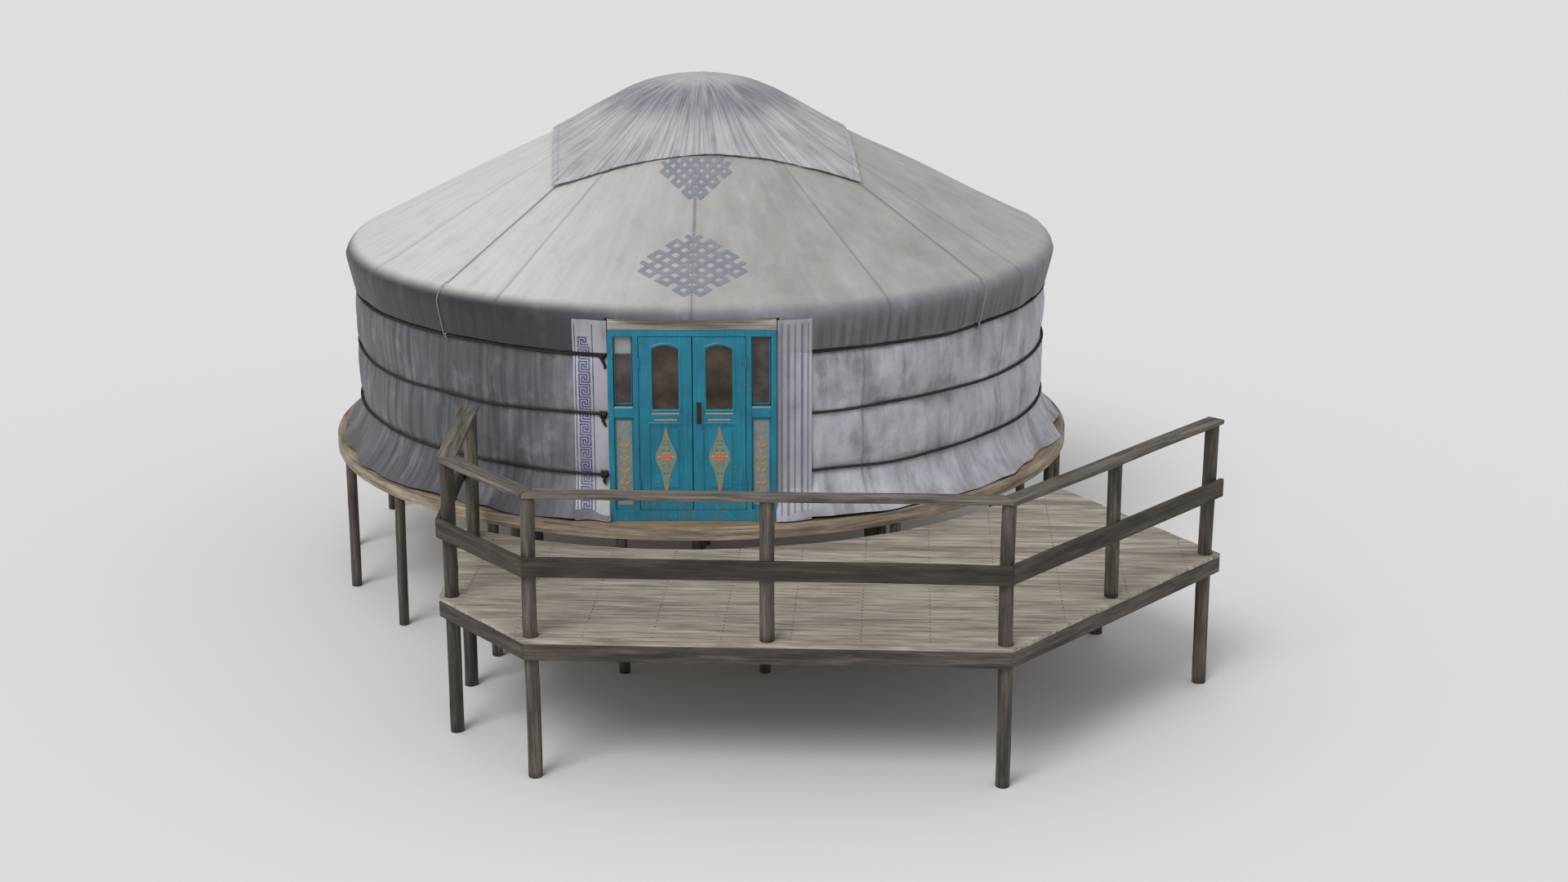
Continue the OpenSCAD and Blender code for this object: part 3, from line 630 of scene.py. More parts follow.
def canvas(name, clean, dull, grime_and_shade, seam, top_dirt_and_shade, dirty_foot, streaky, creased,
           left=None, valance=None):
    """Cotton canvas with weave, creases, blotches, rain streaks and sewn seams at even widths along u, with
    a painted highlight on the crease ridges and painted shade in the crease hollows.

    seam is the width between seams and their shift. top_dirt_and_shade is where the darkening at the top
    end of v starts
    and ends, and its strength: drip streaks of dirt together with painted shade. dirty_foot is where the
    dirt at
    the foot starts and ends along v, and its strength. left is the colour and strength laid over the left
    side:
    painted shade on the wall, painted light on the roof. valance is where the cloth starts to turn down,
    where it has turned, and its colours right and left, which paint shade on the turned-down cloth.
    """
    made, start = new_surface(name)
    cloth = start.add("ShaderNodeUVMap", {"uv_map": "flat"})
    u, v, _ = cloth.split()
    on_left = 1 - start.place().split()[0].step(-1.7, 0.7)
    blotch = cloth.noise(1.6, 6.0)
    streak = cloth.stretch((5.0, 0.6, 1.0)).noise(1.6, 6.0, 0.65)
    drip = cloth.stretch((15.0, 0.7, 1.0)).noise(1.1, 5.0)
    mildew = cloth.noise(34.0, 4.0)
    crease = cloth.stretch((1.7, 0.9, 1.0)).noise(3.2, 4.0, 0.6)
    color = blotch.step(0.3, 0.7).mix(clean, dull)
    # Over the left side: painted shade on the wall, painted light on the roof.
    if left:
        color = (on_left * left[1] * (0.8 + drip.step(0.3, 0.7) * 0.2)).mix(color, left[0])
    # The turned-down cloth gets darker colours, darkest on the left: painted shade.
    if valance:
        color = v.step(*valance[:2]).mix(color, on_left.mix(*valance[2:]))
    color = (streak.step(0.48, 0.74) * streaky).mix(color, grime_and_shade)
    # Painted highlight on the crease ridges, weaker on the left, then painted shade in the crease hollows.
    color = (crease.step(0.5, 0.7) * (0.5 * creased) * (1 - on_left * 0.75)).mix(color, srgb(216, 216, 223))
    color = ((1 - crease.step(0.32, 0.5)) * (0.4 * creased)).mix(color, grime_and_shade)
    # Darker at the top end of v: drip streaks of dirt with painted shade. Darker at the foot: dirt.
    top = v.step(*top_dirt_and_shade[:2]) * top_dirt_and_shade[2]
    foot = (1 - v.step(*dirty_foot[:2])) * dirty_foot[2]
    color = (top * (0.25 + drip.step(0.35, 0.66) * 0.75)).mix(color, grime_and_shade)
    color = (foot * (0.3 + blotch.step(0.35, 0.6) * 0.7)).mix(color, grime_and_shade)
    color = (mildew.step(0.66, 0.72) * 0.3).mix(color, grime_and_shade)
    apart = start.math("PINGPONG", u + seam[1], seam[0] / 2)
    sewn = 1 - apart.step(0.006, 0.011)
    lap = 1 - apart.step(0.022, 0.028)
    color = (sewn * 0.3 + lap * 0.08).mix(color, grime_and_shade)
    weave = cloth.noise(640.0, 2.0) * 0.06 + cloth.noise(28.0, 5.0) * 0.12
    height = weave + crease * (3.0 * creased) + lap * 0.15 - sewn * 0.12
    close_surface(start, color, 0.9, height, 0.6, 0.012,
                  {"Sheen Weight": 0.15, "Sheen Roughness": 0.6, "Specular IOR Level": 0.25})
    return made


even_rows = np.linspace(0.004, wall_top, 84)
even_rows = even_rows[np.min(np.abs(even_rows[:, None] - np.array(rope_heights)), 1) > 0.055]
rope_rows = [height + np.linspace(-0.05, 0.05, 13) for height in rope_heights]
wall_rows = np.sort(np.concatenate([even_rows, *rope_rows]))
wall_columns = 721
wall_share = np.linspace(0, 1, wall_columns)
row_z = np.repeat(wall_rows[:, None], wall_columns, 1)
edge_angle = np.arcsin(door_edge / wall_profile(wall_rows))[:, None]
wall_angle = edge_angle + wall_share[None, :] * (2 * np.pi - 2 * edge_angle)
hem_lift = 0.016 * (1 + folds(wall_angle / (2 * np.pi), 0 * wall_angle, 60, 1, 8))
hem_lift = hem_lift * np.clip(1 - row_z / 0.1, 0, 1)
wall_points = from_door(wall_angle, wall_radius(wall_angle, row_z), row_z + hem_lift)
wall_mesh = grid_mesh("wall canvas", wall_points, np.stack([wall_angle * 2.97, row_z], -1))
# Its left side is painted much darker: painted shade. Its top is darker from dirt streaks and painted shade
# under the eaves.
wall_canvas = canvas("wall canvas", srgb(190, 191, 201), srgb(164, 165, 174), srgb(80, 79, 81),
                     seam=(1.56, 0.2), top_dirt_and_shade=(0.9, 1.5, 0.5), dirty_foot=(0.0, 0.16, 0.35),
                     streaky=0.4, creased=1.0, left=(srgb(56, 57, 61), 0.97))
wall_cover = add_piece("wall_cover", wall_mesh, "yurt", "canvas", wall_canvas,
                       *[f"wall_cover_{k}" for k in range(1, 6)])

# Felt behind the canvas: a thick cream layer of pressed wool, tied to the outside of the lattice.
# It shows between the laths inside.

felt_back = 2.928
felt_middle = 2.9275
felt, start = new_surface("wool felt")
place = start.place()
fuzz = place.noise(160.0, 6.0)
felt_color = place.noise(3.0, 5.0).step(0.3, 0.7).mix(srgb(222, 212, 192), srgb(198, 186, 164))
felt_color = (fuzz.step(0.5, 0.7) * 0.25).mix(felt_color, srgb(150, 138, 118))
close_surface(start, felt_color, 0.95, fuzz, 0.5, 0.004,
              {"Sheen Weight": 0.3, "Specular IOR Level": 0.15})
liner_z = np.linspace(0.002, wall_top + 0.04, 12)
liner_edge = np.arcsin(door_edge / felt_back)
liner_angle = liner_edge + np.linspace(0, 1, 361) * (2 * np.pi - 2 * liner_edge)
liner_a, liner_h = np.meshgrid(liner_angle, liner_z)
liner_r = felt_middle + 0.0015 * folds(liner_a / (2 * np.pi), liner_h / 1.7, 90, 8, 9)
liner_points = from_door(liner_a, liner_r, liner_h)[:, ::-1]
liner_mesh = grid_mesh("wall felt", liner_points, np.stack([liner_a * 2.93, liner_h], -1)[:, ::-1])
wall_felt = add_piece("wall_felt", liner_mesh, "yurt", "canvas", felt)

# Girth ropes: three-strand dark rope, pulled tight round the cover from jamb to jamb. On the left they
# are tied off with a few turns and a short tail, on the right they end under the strip beside the door.

rope_tree, given = start_tree("laid rope", ("Radius", "Lay length", "Step"))
line = given.add("GeometryNodeMeshToCurve", {}, {"Mesh": given})
line = given.add("GeometryNodeResampleCurve", {"mode": "LENGTH"},
                 {"Curve": line, "Length": given.out("Step")})
run = given.add("GeometryNodeSplineParameter", out="Length")
twist = run / given.out("Lay length") * (2 * math.pi)
line = given.add("GeometryNodeSetCurveTilt", {}, {"Curve": line, "Tilt": twist})
strand_r = given.out("Radius")
strands = given.add("GeometryNodeCurveStar", {},
                    {"Points": 3, "Inner Radius": strand_r * 0.78, "Outer Radius": strand_r})
laid_up = {"Curve": line, "Profile Curve": strands, "Fill Caps": True}
end_tree(given, given.add("GeometryNodeCurveToMesh", {}, laid_up))


def rope_lines(name, paths):
    """Carrier mesh of open lines through the points of each path."""
    made = bpy.data.meshes.new(name)
    points = np.concatenate(paths)
    edges = []
    first = 0
    for path in paths:
        edges += [(first + i, first + i + 1) for i in range(len(path) - 1)]
        first += len(path)
    made.from_pydata(points.tolist(), edges, [])
    return made


def rope_fibre(name, dark, worn):
    made, start = new_surface(name)
    place = start.place()
    fray = place.noise(120.0, 5.0)
    color = fray.step(0.45, 0.72).mix(dark, worn)
    close_surface(start, color, 0.85, fray, 0.5, 0.002, {"Specular IOR Level": 0.3})
    return made


girth_rope = rope_fibre("girth rope", srgb(44, 41, 42), srgb(84, 78, 74))
girth_r = rope_r + 0.0155
rope_thick = 0.0135
girth_paths = []
for number, height in enumerate(rope_heights):
    edge_a = np.arcsin((door_edge + 0.012) / girth_r)
    sweep = np.linspace(edge_a, 2 * np.pi - edge_a, 900)
    wander = 0.010 * folds(sweep / (2 * np.pi), 0 * sweep, 34, 1, 40 + number)
    girth_paths.append(from_door(sweep, girth_r + 0 * sweep, height + wander))
    turns = np.linspace(0, 2.5 * 2 * np.pi, 50)
    slide = np.linspace(0.018, 0.066, 50)
    knot_a = -np.arcsin((door_edge + slide) / girth_r)
    knot_r = girth_r + 0.005 + 0.019 * np.cos(turns)
    girth_paths.append(from_door(knot_a, knot_r, height + 0.021 * np.sin(turns)))
    drop = np.linspace(0, 1, 12)
    tail_a = -np.arcsin((door_edge + 0.03 + 0.012 * np.sin(3 * drop + number)) / girth_r)
    tail_z = height - 0.02 - (0.05 + 0.015 * number) * drop
    girth_paths.append(from_door(tail_a, girth_r + 0.022 - 0.008 * drop, tail_z))
girth_mesh = grow("girth ropes", rope_lines("girth lines", girth_paths), rope_tree,
                  {"Radius": rope_thick, "Lay length": 0.085, "Step": 0.011, "Material": girth_rope})
add_piece("tied_ropes", girth_mesh, "yurt", "rope", girth_rope, "girth_ropes")

# Roof cover: canvas over felt on the poles, sewn from gores, with a rounded shoulder over the eaves
# and a valance that is drawn in to the top rope and cut away above the door.

roof_slope = 0.49422
eave_r = 2.94055
head_r = 2.91255
head_z = 1.7189
crown_r = 0.757


def roof_height(radius):
    """Height of the tight roof cover above the floor on its straight slope."""
    return head_z + (head_r - radius) * roof_slope


def smooth_line(points, rounds):
    """A line through points with its corners cut again and again."""
    line = np.array(points, float)
    for _ in range(rounds):
        near = 0.75 * line[:-1] + 0.25 * line[1:]
        far = 0.25 * line[:-1] + 0.75 * line[1:]
        line = np.concatenate([line[:1], np.stack([near, far], 1).reshape(-1, 2), line[-1:]])
    return line


def walk_along(line, spots):
    """Points and normals at distances along a line, the normals to its left."""
    lengths = np.concatenate([[0], np.cumsum(np.linalg.norm(np.diff(line, axis=0), axis=1))])
    found, ahead, back = [np.stack([np.interp(spots + d, lengths, line[:, k]) for k in (0, 1)], -1)
                          for d in (0, 0.01, -0.01)]
    way = ahead - back
    way /= np.linalg.norm(way, axis=-1, keepdims=True)
    return found, np.stack([-way[..., 1], way[..., 0]], -1), lengths


roof_line = smooth_line([(crown_r, roof_height(crown_r)), (2.93, roof_height(2.93)),
                         (2.968, roof_height(2.968) + 0.001), (3.012, 1.660), (3.042, 1.606),
                         (3.034, 1.540), (2.983, 1.322)], 4)
roof_lengths = walk_along(roof_line, np.zeros(1))[2]
roof_length = roof_lengths[-1]
shoulder_run = 2.545


def roof_fold(angle, run):
    """How far the roof cover stands off its tight line, at an angle and a distance from the crown."""
    around = np.asarray(angle) / (2 * np.pi) % 1.0
    share = np.asarray(run) / roof_length
    sag = (0.5 - 0.5 * np.cos(pole_count * np.asarray(angle))) * (0.002 + 0.0023 * np.clip(run, 0, 2.4))
    shoulder = np.clip((run - 2.3) / 0.3, 0, 1)
    hang = np.clip((run - shoulder_run) / 0.3, 0, 1)
    swell = 0.007 * folds(around, share, 30, 4, 51) + 0.0035 * folds(around, share, 110, 5, 52)
    pucker = 0.006 * folds(around, share, 160, 12, 53) + 0.004 * folds(around, share, 260, 14, 54)
    flap = hang * 0.006 * (1 + folds(around, 0 * share, 105, 1, 55))
    return (swell + shoulder * pucker) * (1 - 0.8 * hang) - sag * (1 - shoulder) + flap


notch_half = 0.66
roof_columns = 720
notch = math.asin(notch_half / 3.03)
notch_sides = [side * notch + shift for side in (-1, 1) for shift in (-0.001, 0.001)]
even_angles = np.linspace(-np.pi, np.pi, roof_columns + 1)[:-1]
roof_angle = np.sort(np.concatenate([even_angles, notch_sides]))[None, :]
roof_run = np.concatenate([np.linspace(0, 2.34, 46), np.linspace(2.36, roof_length, 34)])[:, None]
hem_wave = 0.03 * (folds(roof_angle / (2 * np.pi), 0 * roof_angle, 70, 1, 56) - 1)
left_over = np.where(np.abs(roof_angle) < notch, 0.115, 1.0) * (1 + hem_wave)
roof_run = np.minimum(roof_run, shoulder_run) + np.clip(roof_run - shoulder_run, 0, None) * left_over
roof_rz, roof_normal, _ = walk_along(roof_line, roof_run)
roof_rz = roof_rz + roof_normal * roof_fold(roof_angle, roof_run)[..., None]
roof_points = from_door(roof_angle, roof_rz[..., 0], roof_rz[..., 1])[::-1]
roof_uv = np.stack([roof_angle * 3.0 + 0 * roof_run, roof_run], -1)[::-1]
roof_mesh = grid_mesh("roof canvas", roof_points, roof_uv, wrap=True)
# Its left side is painted lighter: painted light. The valance is painted darker, darkest on the left:
# painted shade.
roof_canvas = canvas("roof canvas", srgb(168, 166, 163), srgb(154, 152, 149), srgb(64, 64, 66),
                     seam=(18.85 / 12, 0.0), top_dirt_and_shade=(2.48, 2.75, 0.7), dirty_foot=(0.0, 0.2, 0.0),
                     streaky=0.08, creased=0.25, left=(srgb(209, 208, 206), 0.88),
                     valance=(2.43, 2.57, srgb(124, 124, 131), srgb(42, 42, 45)))
roof_cover = add_piece("roof_cover", roof_mesh, "yurt", "canvas", roof_canvas,
                       *[f"roof_gore_{k}" for k in range(1, 7)])


def laid_on_roof(x, y, lift):
    """Points on the roof cover under plan positions before the door, lifted off it."""
    radius = np.hypot(x, y)
    angle = np.arctan2(x, y)
    run = (radius - crown_r) * math.hypot(1, roof_slope)
    stand = roof_fold(angle, run) + lift
    pitch = math.atan(roof_slope)
    return from_door(angle, radius + math.sin(pitch) * stand, roof_height(radius) + math.cos(pitch) * stand)


# Ornaments sewn on the roof: an old endless-knot figure in a diamond over the door, a second one higher
# up and a line between them, cut from blue cloth that the sun has faded to grey.


def finely(path, step, closed=False):
    """A path with points no further apart than a step."""
    path = np.array(list(path) + [path[0]] if closed else path, float)
    found = [path[:1]]
    for a, b in zip(path[:-1], path[1:]):
        count = max(1, int(np.linalg.norm(b - a) / step))
        found.append(a + (b - a) * np.linspace(0, 1, count + 1)[1:, None])
    done = np.concatenate(found)
    return done[:-1] if closed else done


def band(path, width, rise, closed=False):
    """A flat band along a path: rows of left edge, middle and right edge, each x, y and height."""
    path = np.asarray(path, float)
    before = np.roll(path, 1, 0) if closed else np.concatenate([2 * path[:1] - path[1:2], path[:-1]])
    after = np.roll(path, -1, 0) if closed else np.concatenate([path[1:], 2 * path[-1:] - path[-2:-1]])
    way_in = (path - before) / np.linalg.norm(path - before, axis=1)[:, None]
    way_out = (after - path) / np.linalg.norm(after - path, axis=1)[:, None]
    side = way_in + way_out
    side = np.stack([-side[:, 1], side[:, 0]], -1)
    side /= np.maximum(np.linalg.norm(side, axis=1), 0.6)[:, None] ** 2 / 2
    rows = np.stack([path + side * width / 2, path, path - side * width / 2], 1)
    heights = np.array([0, rise, 0])[None, :, None] + 0 * rows[:, :, :1]
    points = np.concatenate([rows, heights], 2).reshape(-1, 3)
    count = len(path)
    faces = []
    for i in range(count if closed else count - 1):
        n = (i + 1) % count
        faces.append([3 * i, 3 * i + 1, 3 * n + 1, 3 * n])
        faces.append([3 * i + 1, 3 * i + 2, 3 * n + 2, 3 * n + 1])
    return points, faces


def trail(path, step, width, rise, closed=False):
    """A band along a path that is first cut into short steps."""
    return band(finely(path, step, closed), width, rise, closed)


def box_path(x, half, low, high):
    """Corners of an upright box, counter-clockwise."""
    return [(x - half, low), (x + half, low), (x + half, high), (x - half, high)]


def boss(outline, rise):
    """A domed patch inside an outline, counter-clockwise: two rings and a raised middle."""
    outline = np.asarray(outline, float)
    middle = outline.mean(0)
    inner = middle + (outline - middle) * 0.55
    count = len(outline)
    heights = np.concatenate([np.zeros(count), np.full(count, 0.8 * rise), [rise]])
    points = np.concatenate([np.concatenate([outline, inner, middle[None]]), heights[:, None]], 1)
    faces = []
    for i in range(count):
        n = (i + 1) % count
        faces.append([i, n, count + n, count + i])
        faces.append([count + i, count + n, 2 * count])
    return points, faces


def laid(name, parts, place):
    """One mesh of bands and patches, each point put in place from x, y and height."""
    points = []
    faces = []
    for spots, made in parts:
        first = sum(len(p) for p in points)
        points.append(place(spots[:, 0], spots[:, 1], spots[:, 2]))
        faces += [[first + i for i in face] for face in made]
    mesh = bpy.data.meshes.new(name)
    mesh.from_pydata(np.concatenate(points).tolist(), [], faces)
    work = bmesh.new()
    work.from_mesh(mesh)
    bmesh.ops.recalc_face_normals(work, faces=work.faces[:])
    work.to_mesh(mesh)
    work.free()
    return mesh


def knot_paths(reach, pitch, runs):
    """Lines of an endless knot on a square grid: runs each way, joined at their ends."""
    paths = []
    for swap in (False, True):
        line = []
        for k in range(runs):
            row = (k - (runs - 1) / 2) * pitch
            ends = [(-reach, row), (reach, row)]
            line += ends if k % 2 == 0 else ends[::-1]
        paths.append([(b, a) for a, b in line] if swap else line)
    return paths


def diamond(path, y, wide, deep):
    """Turns a square figure onto its corner and sets its middle at a plan distance before the door."""
    path = np.asarray(path, float)
    return np.stack([(path[:, 0] - path[:, 1]) * wide, y + (path[:, 0] + path[:, 1]) * deep], -1)


def faded_cloth(name, main, worn, bare):
    made, start = new_surface(name)
    place = start.place()
    rubbed = place.noise(7.0, 6.0).step(0.42, 0.66)
    thread = place.noise(60.0, 4.0).step(0.55, 0.7)
    color = (thread * 0.3).mix((rubbed * 0.75).mix(main, worn), bare)
    close_surface(start, color, 0.9, place.noise(400.0, 3.0), 0.25, 0.002, {"Specular IOR Level": 0.2})
    return made


knot_rise = 0.0012
knot_parts = [trail([(0, 1.76), (0, 2.19)], 0.02, 0.018, knot_rise)]
for knot_y, knot_wide, knot_deep in ((2.515, 0.25, 0.204), (1.36, 0.17, 0.245)):
    for path in knot_paths(0.92, 0.27, 6):
        knot_parts.append(trail(diamond(path, knot_y, knot_wide, knot_deep), 0.02, 0.036, knot_rise))
knot_mesh = laid("roof knots", knot_parts, lambda x, y, h: laid_on_roof(x, y, h + 0.003))
roof_blue = faded_cloth("faded roof cloth", srgb(132, 134, 146), srgb(148, 148, 153), srgb(160, 158, 156))
roof_knots = add_piece("roof_knots", knot_mesh, "yurt", "canvas", roof_blue)

# Felt under the roof canvas: the same pressed wool, cut to a ring and laid on the roof poles.
# It shows between the poles inside.

felt_drop = 0.0305
felt_r = np.linspace(crown_r, eave_r, 14)
felt_a, felt_rr = np.meshgrid(np.linspace(0, 2 * np.pi, 361)[:-1], felt_r)
felt_mesh = grid_mesh("roof felt", from_door(felt_a, felt_rr, roof_height(felt_rr) - felt_drop),
                      np.stack([felt_a * 2, felt_rr], -1), wrap=True)
roof_felt = add_piece("roof_felt", felt_mesh, "yurt", "canvas", felt)

# Crown cap: one square of canvas thrown over the crown, pleated where it bends down onto the roof,
# hemmed, and held by a thin rope from each corner to the top girth rope.

cap_half = 1.26
cap_foot = 1.17
cap_turn = math.radians(4)
dome_top = 3.038
dome_r = 1.4179
dome_foot = 2.819


def cap_line(radius):
    """Height of the cap above the floor before its pleats: a dome, a bend, then the roof."""
    radius = np.asarray(radius, float)
    dome = dome_top - dome_r + np.sqrt(dome_r ** 2 - np.minimum(radius, crown_r) ** 2)
    foot = roof_height(cap_foot) + 0.012
    share = np.clip((radius - crown_r) / (cap_foot - crown_r), 0, 1)
    bend = dome_foot + (foot - dome_foot) * share
    return np.where(radius < crown_r, dome, np.where(radius < cap_foot, bend, roof_height(radius) + 0.012))


line_r = np.linspace(0, 1.9, 1901)
line_z = cap_line(np.abs(np.linspace(-0.2, 2.1, 2301)))
soft = np.exp(-(np.linspace(-2.2, 2.2, 161)) ** 2)
line_z = np.convolve(line_z, soft / soft.sum(), "same")[200:2101]


def on_cap(x, y, lift):
    """Points on the cap from its own flat coordinates."""
    px = x * math.cos(cap_turn) - y * math.sin(cap_turn)
    py = x * math.sin(cap_turn) + y * math.cos(cap_turn)
    radius = np.hypot(px, py)
    angle = np.arctan2(px, -py) % (2 * np.pi)
    around = angle / (2 * np.pi)
    grow_out = np.clip((radius - 0.12) / 0.7, 0, 1)
    pleat = 0.024 * np.abs(folds(around, radius / 1.9, 44, 3, 61))
    pleat = pleat + 0.010 * np.abs(folds(around, radius / 1.9, 120, 4, 62))
    corner = np.abs((angle - cap_turn) % (math.pi / 2) - math.pi / 4)
    pleat = pleat + 0.026 * np.exp(-(corner / 0.07) ** 2) * np.clip((radius - 0.5) / 0.4, 0, 1)
    dome = np.interp(radius, line_r, line_z)
    run = (np.maximum(radius, crown_r) - crown_r) * math.hypot(1, roof_slope)
    roof = roof_height(radius) + (roof_fold(angle, run) + 0.005) * 1.1
    flat = np.where(radius > 0.8, np.maximum(dome, roof), dome)
    edge = np.maximum(np.abs(x), np.abs(y)) / cap_half
    height = flat + grow_out * pleat * (1 - 0.5 * np.clip((edge - 0.9) / 0.1, 0, 1)) + lift
    return np.stack([px, py, height + floor_z], -1)


cap_steps = np.linspace(-cap_half, cap_half, 181)
cap_x, cap_y = np.meshgrid(cap_steps, cap_steps)
cap_mesh = grid_mesh("crown cap", on_cap(cap_x, cap_y, 0.0), np.stack([cap_x, cap_y], -1))
cap_canvas, start = new_surface("cap canvas")
place = start.place()
x, y, _ = place.split()
reach = start.math("SQRT", x * x + y * y)
spread = start.join(start.math("ARCTAN2", x, y * -1.0) * 5.0, reach * 1.2, 0.0)
ray = spread.noise(2.4, 5.0)
thread = spread.stretch((4.5, 0.5, 1.0)).noise(2.4, 4.0, 0.6)
band_shade = reach.step(0.25, 0.5) * (1 - reach.step(0.7, 0.95))
cap_color = place.noise(2.4, 5.0).step(0.3, 0.7).mix(srgb(182, 182, 183), srgb(166, 166, 170))
cap_color = (ray.step(0.44, 0.72) * 0.6).mix(cap_color, srgb(134, 136, 144))
cap_color = (band_shade * (0.4 + ray.step(0.35, 0.7) * 0.4)).mix(cap_color, srgb(98, 101, 112))
cap_color = (thread.step(0.5, 0.68) * 0.55).mix(cap_color, srgb(200, 200, 203))
cap_color = ((1 - thread.step(0.34, 0.5)) * 0.5).mix(cap_color, srgb(108, 110, 118))
cap_color = (place.noise(30.0, 4.0).step(0.64, 0.72) * 0.3).mix(cap_color, srgb(130, 128, 124))
close_surface(start, cap_color, 0.9, ray * 0.5 + place.noise(500.0, 2.0) * 0.3, 0.35, 0.004,
              {"Sheen Weight": 0.15, "Specular IOR Level": 0.25})
cap_edge = cap_half - 0.024
hem_band = trail(box_path(0, cap_edge, -cap_edge, cap_edge), 0.02, 0.045, 0.003, True)
hem_mesh = laid("cap hem", [hem_band], lambda x, y, h: on_cap(x, y, h + 0.003))
cap_hem = add_piece("crown_cap_hem", hem_mesh, "yurt", "canvas", cap_canvas)
cap_cover = add_piece("crown_cap_cloth", cap_mesh, "yurt", "canvas", cap_canvas, "crown_cap")
corner_paths = []
for quarter in range(4):
    corner = cap_half * math.sqrt(2) - 0.03
    turn = math.pi / 4 + quarter * math.pi / 2 + cap_turn
    slope_r = np.linspace(corner, 2.93, 60)
    on_slope = laid_on_roof(slope_r * math.sin(turn), slope_r * math.cos(turn), 0.009)
    rim_rz, rim_n, _ = walk_along(roof_line, np.linspace(2.45, roof_length, 26))
    over = rim_rz + rim_n * 0.016
    loops = np.linspace(0, 4 * math.pi, 30)
    tie_z = rope_heights[2] + 0.021 * np.sin(loops)
    tie = from_door(turn + 0.003 * loops / 6, girth_r + 0.021 * np.cos(loops), tie_z)
    down = from_door(np.full(26, turn), over[:, 0], over[:, 1])
    corner_paths.append(np.concatenate([on_slope, down, tie]))
cap_rope = rope_fibre("cap rope", srgb(152, 148, 142), srgb(176, 172, 165))
cap_rope_mesh = grow("cap ropes", rope_lines("cap lines", corner_paths), rope_tree,
                     {"Radius": 0.005, "Lay length": 0.035, "Step": 0.01, "Material": cap_rope})
add_piece("cap_ropes", cap_rope_mesh, "yurt", "rope", cap_rope)

# Door: a softwood frame and two leaves in thick teal oil paint, worn at the foot, with dark panes.
# The frame is nailed between the lattice ends; each leaf hangs on two lift-off hinges, painted over.


def oil_paint(name, deep, fresh, bare):
    made, start = new_surface(name)
    place = start.place()
    brush = place.stretch((22.0, 22.0, 1.6)).noise(3.0, 5.0)
    fade = place.noise(3.2, 5.0)
    foot = 1 - place.split()[2].step(1.26, 1.62)
    bare_spots = place.noise(5.0, 3.0).step(0.5, 0.64) * 0.6 + foot * 0.4
    chip = place.noise(46.0, 4.0).step(0.63, 0.67) * bare_spots
    color = (fade.step(0.3, 0.7) * 0.6 + brush.step(0.35, 0.65) * 0.4).mix(deep, fresh)
    color = (foot * place.noise(9.0, 5.0).step(0.35, 0.7) * 0.4).mix(color, srgb(92, 104, 100))
    color = chip.mix(color, bare)
    close_surface(start, color, 0.42 + chip * 0.4 + fade * 0.12, brush * 0.5 - chip * 0.8, 0.3, 0.002,
                  {"Coat Weight": 0.15, "Coat Roughness": 0.3})
    return made


teal_paint = oil_paint("teal oil paint", srgb(6, 104, 132), srgb(18, 134, 160), srgb(148, 128, 100))
iron = rusted_iron("hinge iron", 0.35)
pane, start = new_surface("dark pane")
place = start.place()
dust = place.noise(6.0, 6.0)
close_surface(start, dust.step(0.35, 0.75).mix(srgb(48, 39, 30), srgb(86, 72, 56)), 0.08 + dust * 0.2,
              fixed={"Specular IOR Level": 0.5})
side_pane, start = new_surface("side pane")
place = start.place()
x, _, z = place.split()
dust = place.noise(6.0, 6.0)
# A pale patch over the top third of the left pane: a painted reflection.
pale_reflection = (1 - x.step(-0.41, -0.39)) * z.step(2.515, 2.535)
side_color = pale_reflection.mix(dust.step(0.35, 0.75).mix(srgb(52, 47, 48), srgb(90, 82, 82)), srgb(160, 160, 164))
close_surface(start, side_color, 0.08 + dust * 0.2 + pale_reflection * 0.4, fixed={"Specular IOR Level": 0.5})
dress(teal_paint, "door_sill", "door_head", "door_jambs", "door_mullions", "side_transoms", "side_panels",
      "left_leaf", "right_leaf", "frame_hinges", "left_leaf_hinges", "right_leaf_hinges")
dress(side_pane, "side_glass")
dress(pane, "left_leaf_glass", "right_leaf_glass")
dress(iron, "door_handle")

# Lintel board over the door: pale bare softwood, nailed to the door head where the valance is cut away.
# It keeps its CAD shape and only gets its grain here.

lintel_timber = timber("lintel board", srgb(184, 176, 166), srgb(166, 157, 147), srgb(116, 106, 95),
                       lengthways("XYZ"), weather=0.5)
dress(lintel_timber, "door_lintel")

# Beads and painted ornament on the leaves: mouldings round the panes, and on each lower panel an ogee
# field with an orange flower, green leaves and gold lines. Thin paint and glued strips on the front.

door_front = -2.990
leaf_mid = 0.2045
leaf_foot = 0.095


def on_door(x, y, lift):
    """Points on the front of the door from x and the height above the floor."""
    return np.stack([x, door_front - 0.0004 - lift, floor_z + y], -1)


def plain_paint(name, main, worn):
    made, start = new_surface(name)
    place = start.place()
    rub = place.noise(24.0, 5.0).step(0.45, 0.72)
    close_surface(start, (rub * 0.6).mix(main, worn), 0.5 + rub * 0.2, place.noise(130.0, 4.0), 0.2, 0.0015)
    return made


gold_paint = plain_paint("gold line", srgb(170, 144, 92), srgb(144, 134, 108))
orange_paint = plain_paint("flower orange", srgb(206, 112, 70), srgb(190, 142, 116))
green_paint = plain_paint("leaf green", srgb(86, 138, 92), srgb(92, 134, 122))
pink_paint = plain_paint("pink rule", srgb(206, 140, 136), srgb(150, 140, 142))
field_paint = plain_paint("panel field", srgb(112, 142, 140), srgb(136, 148, 140))
beige_paint = plain_paint("beige rule", srgb(172, 156, 134), srgb(140, 136, 124))


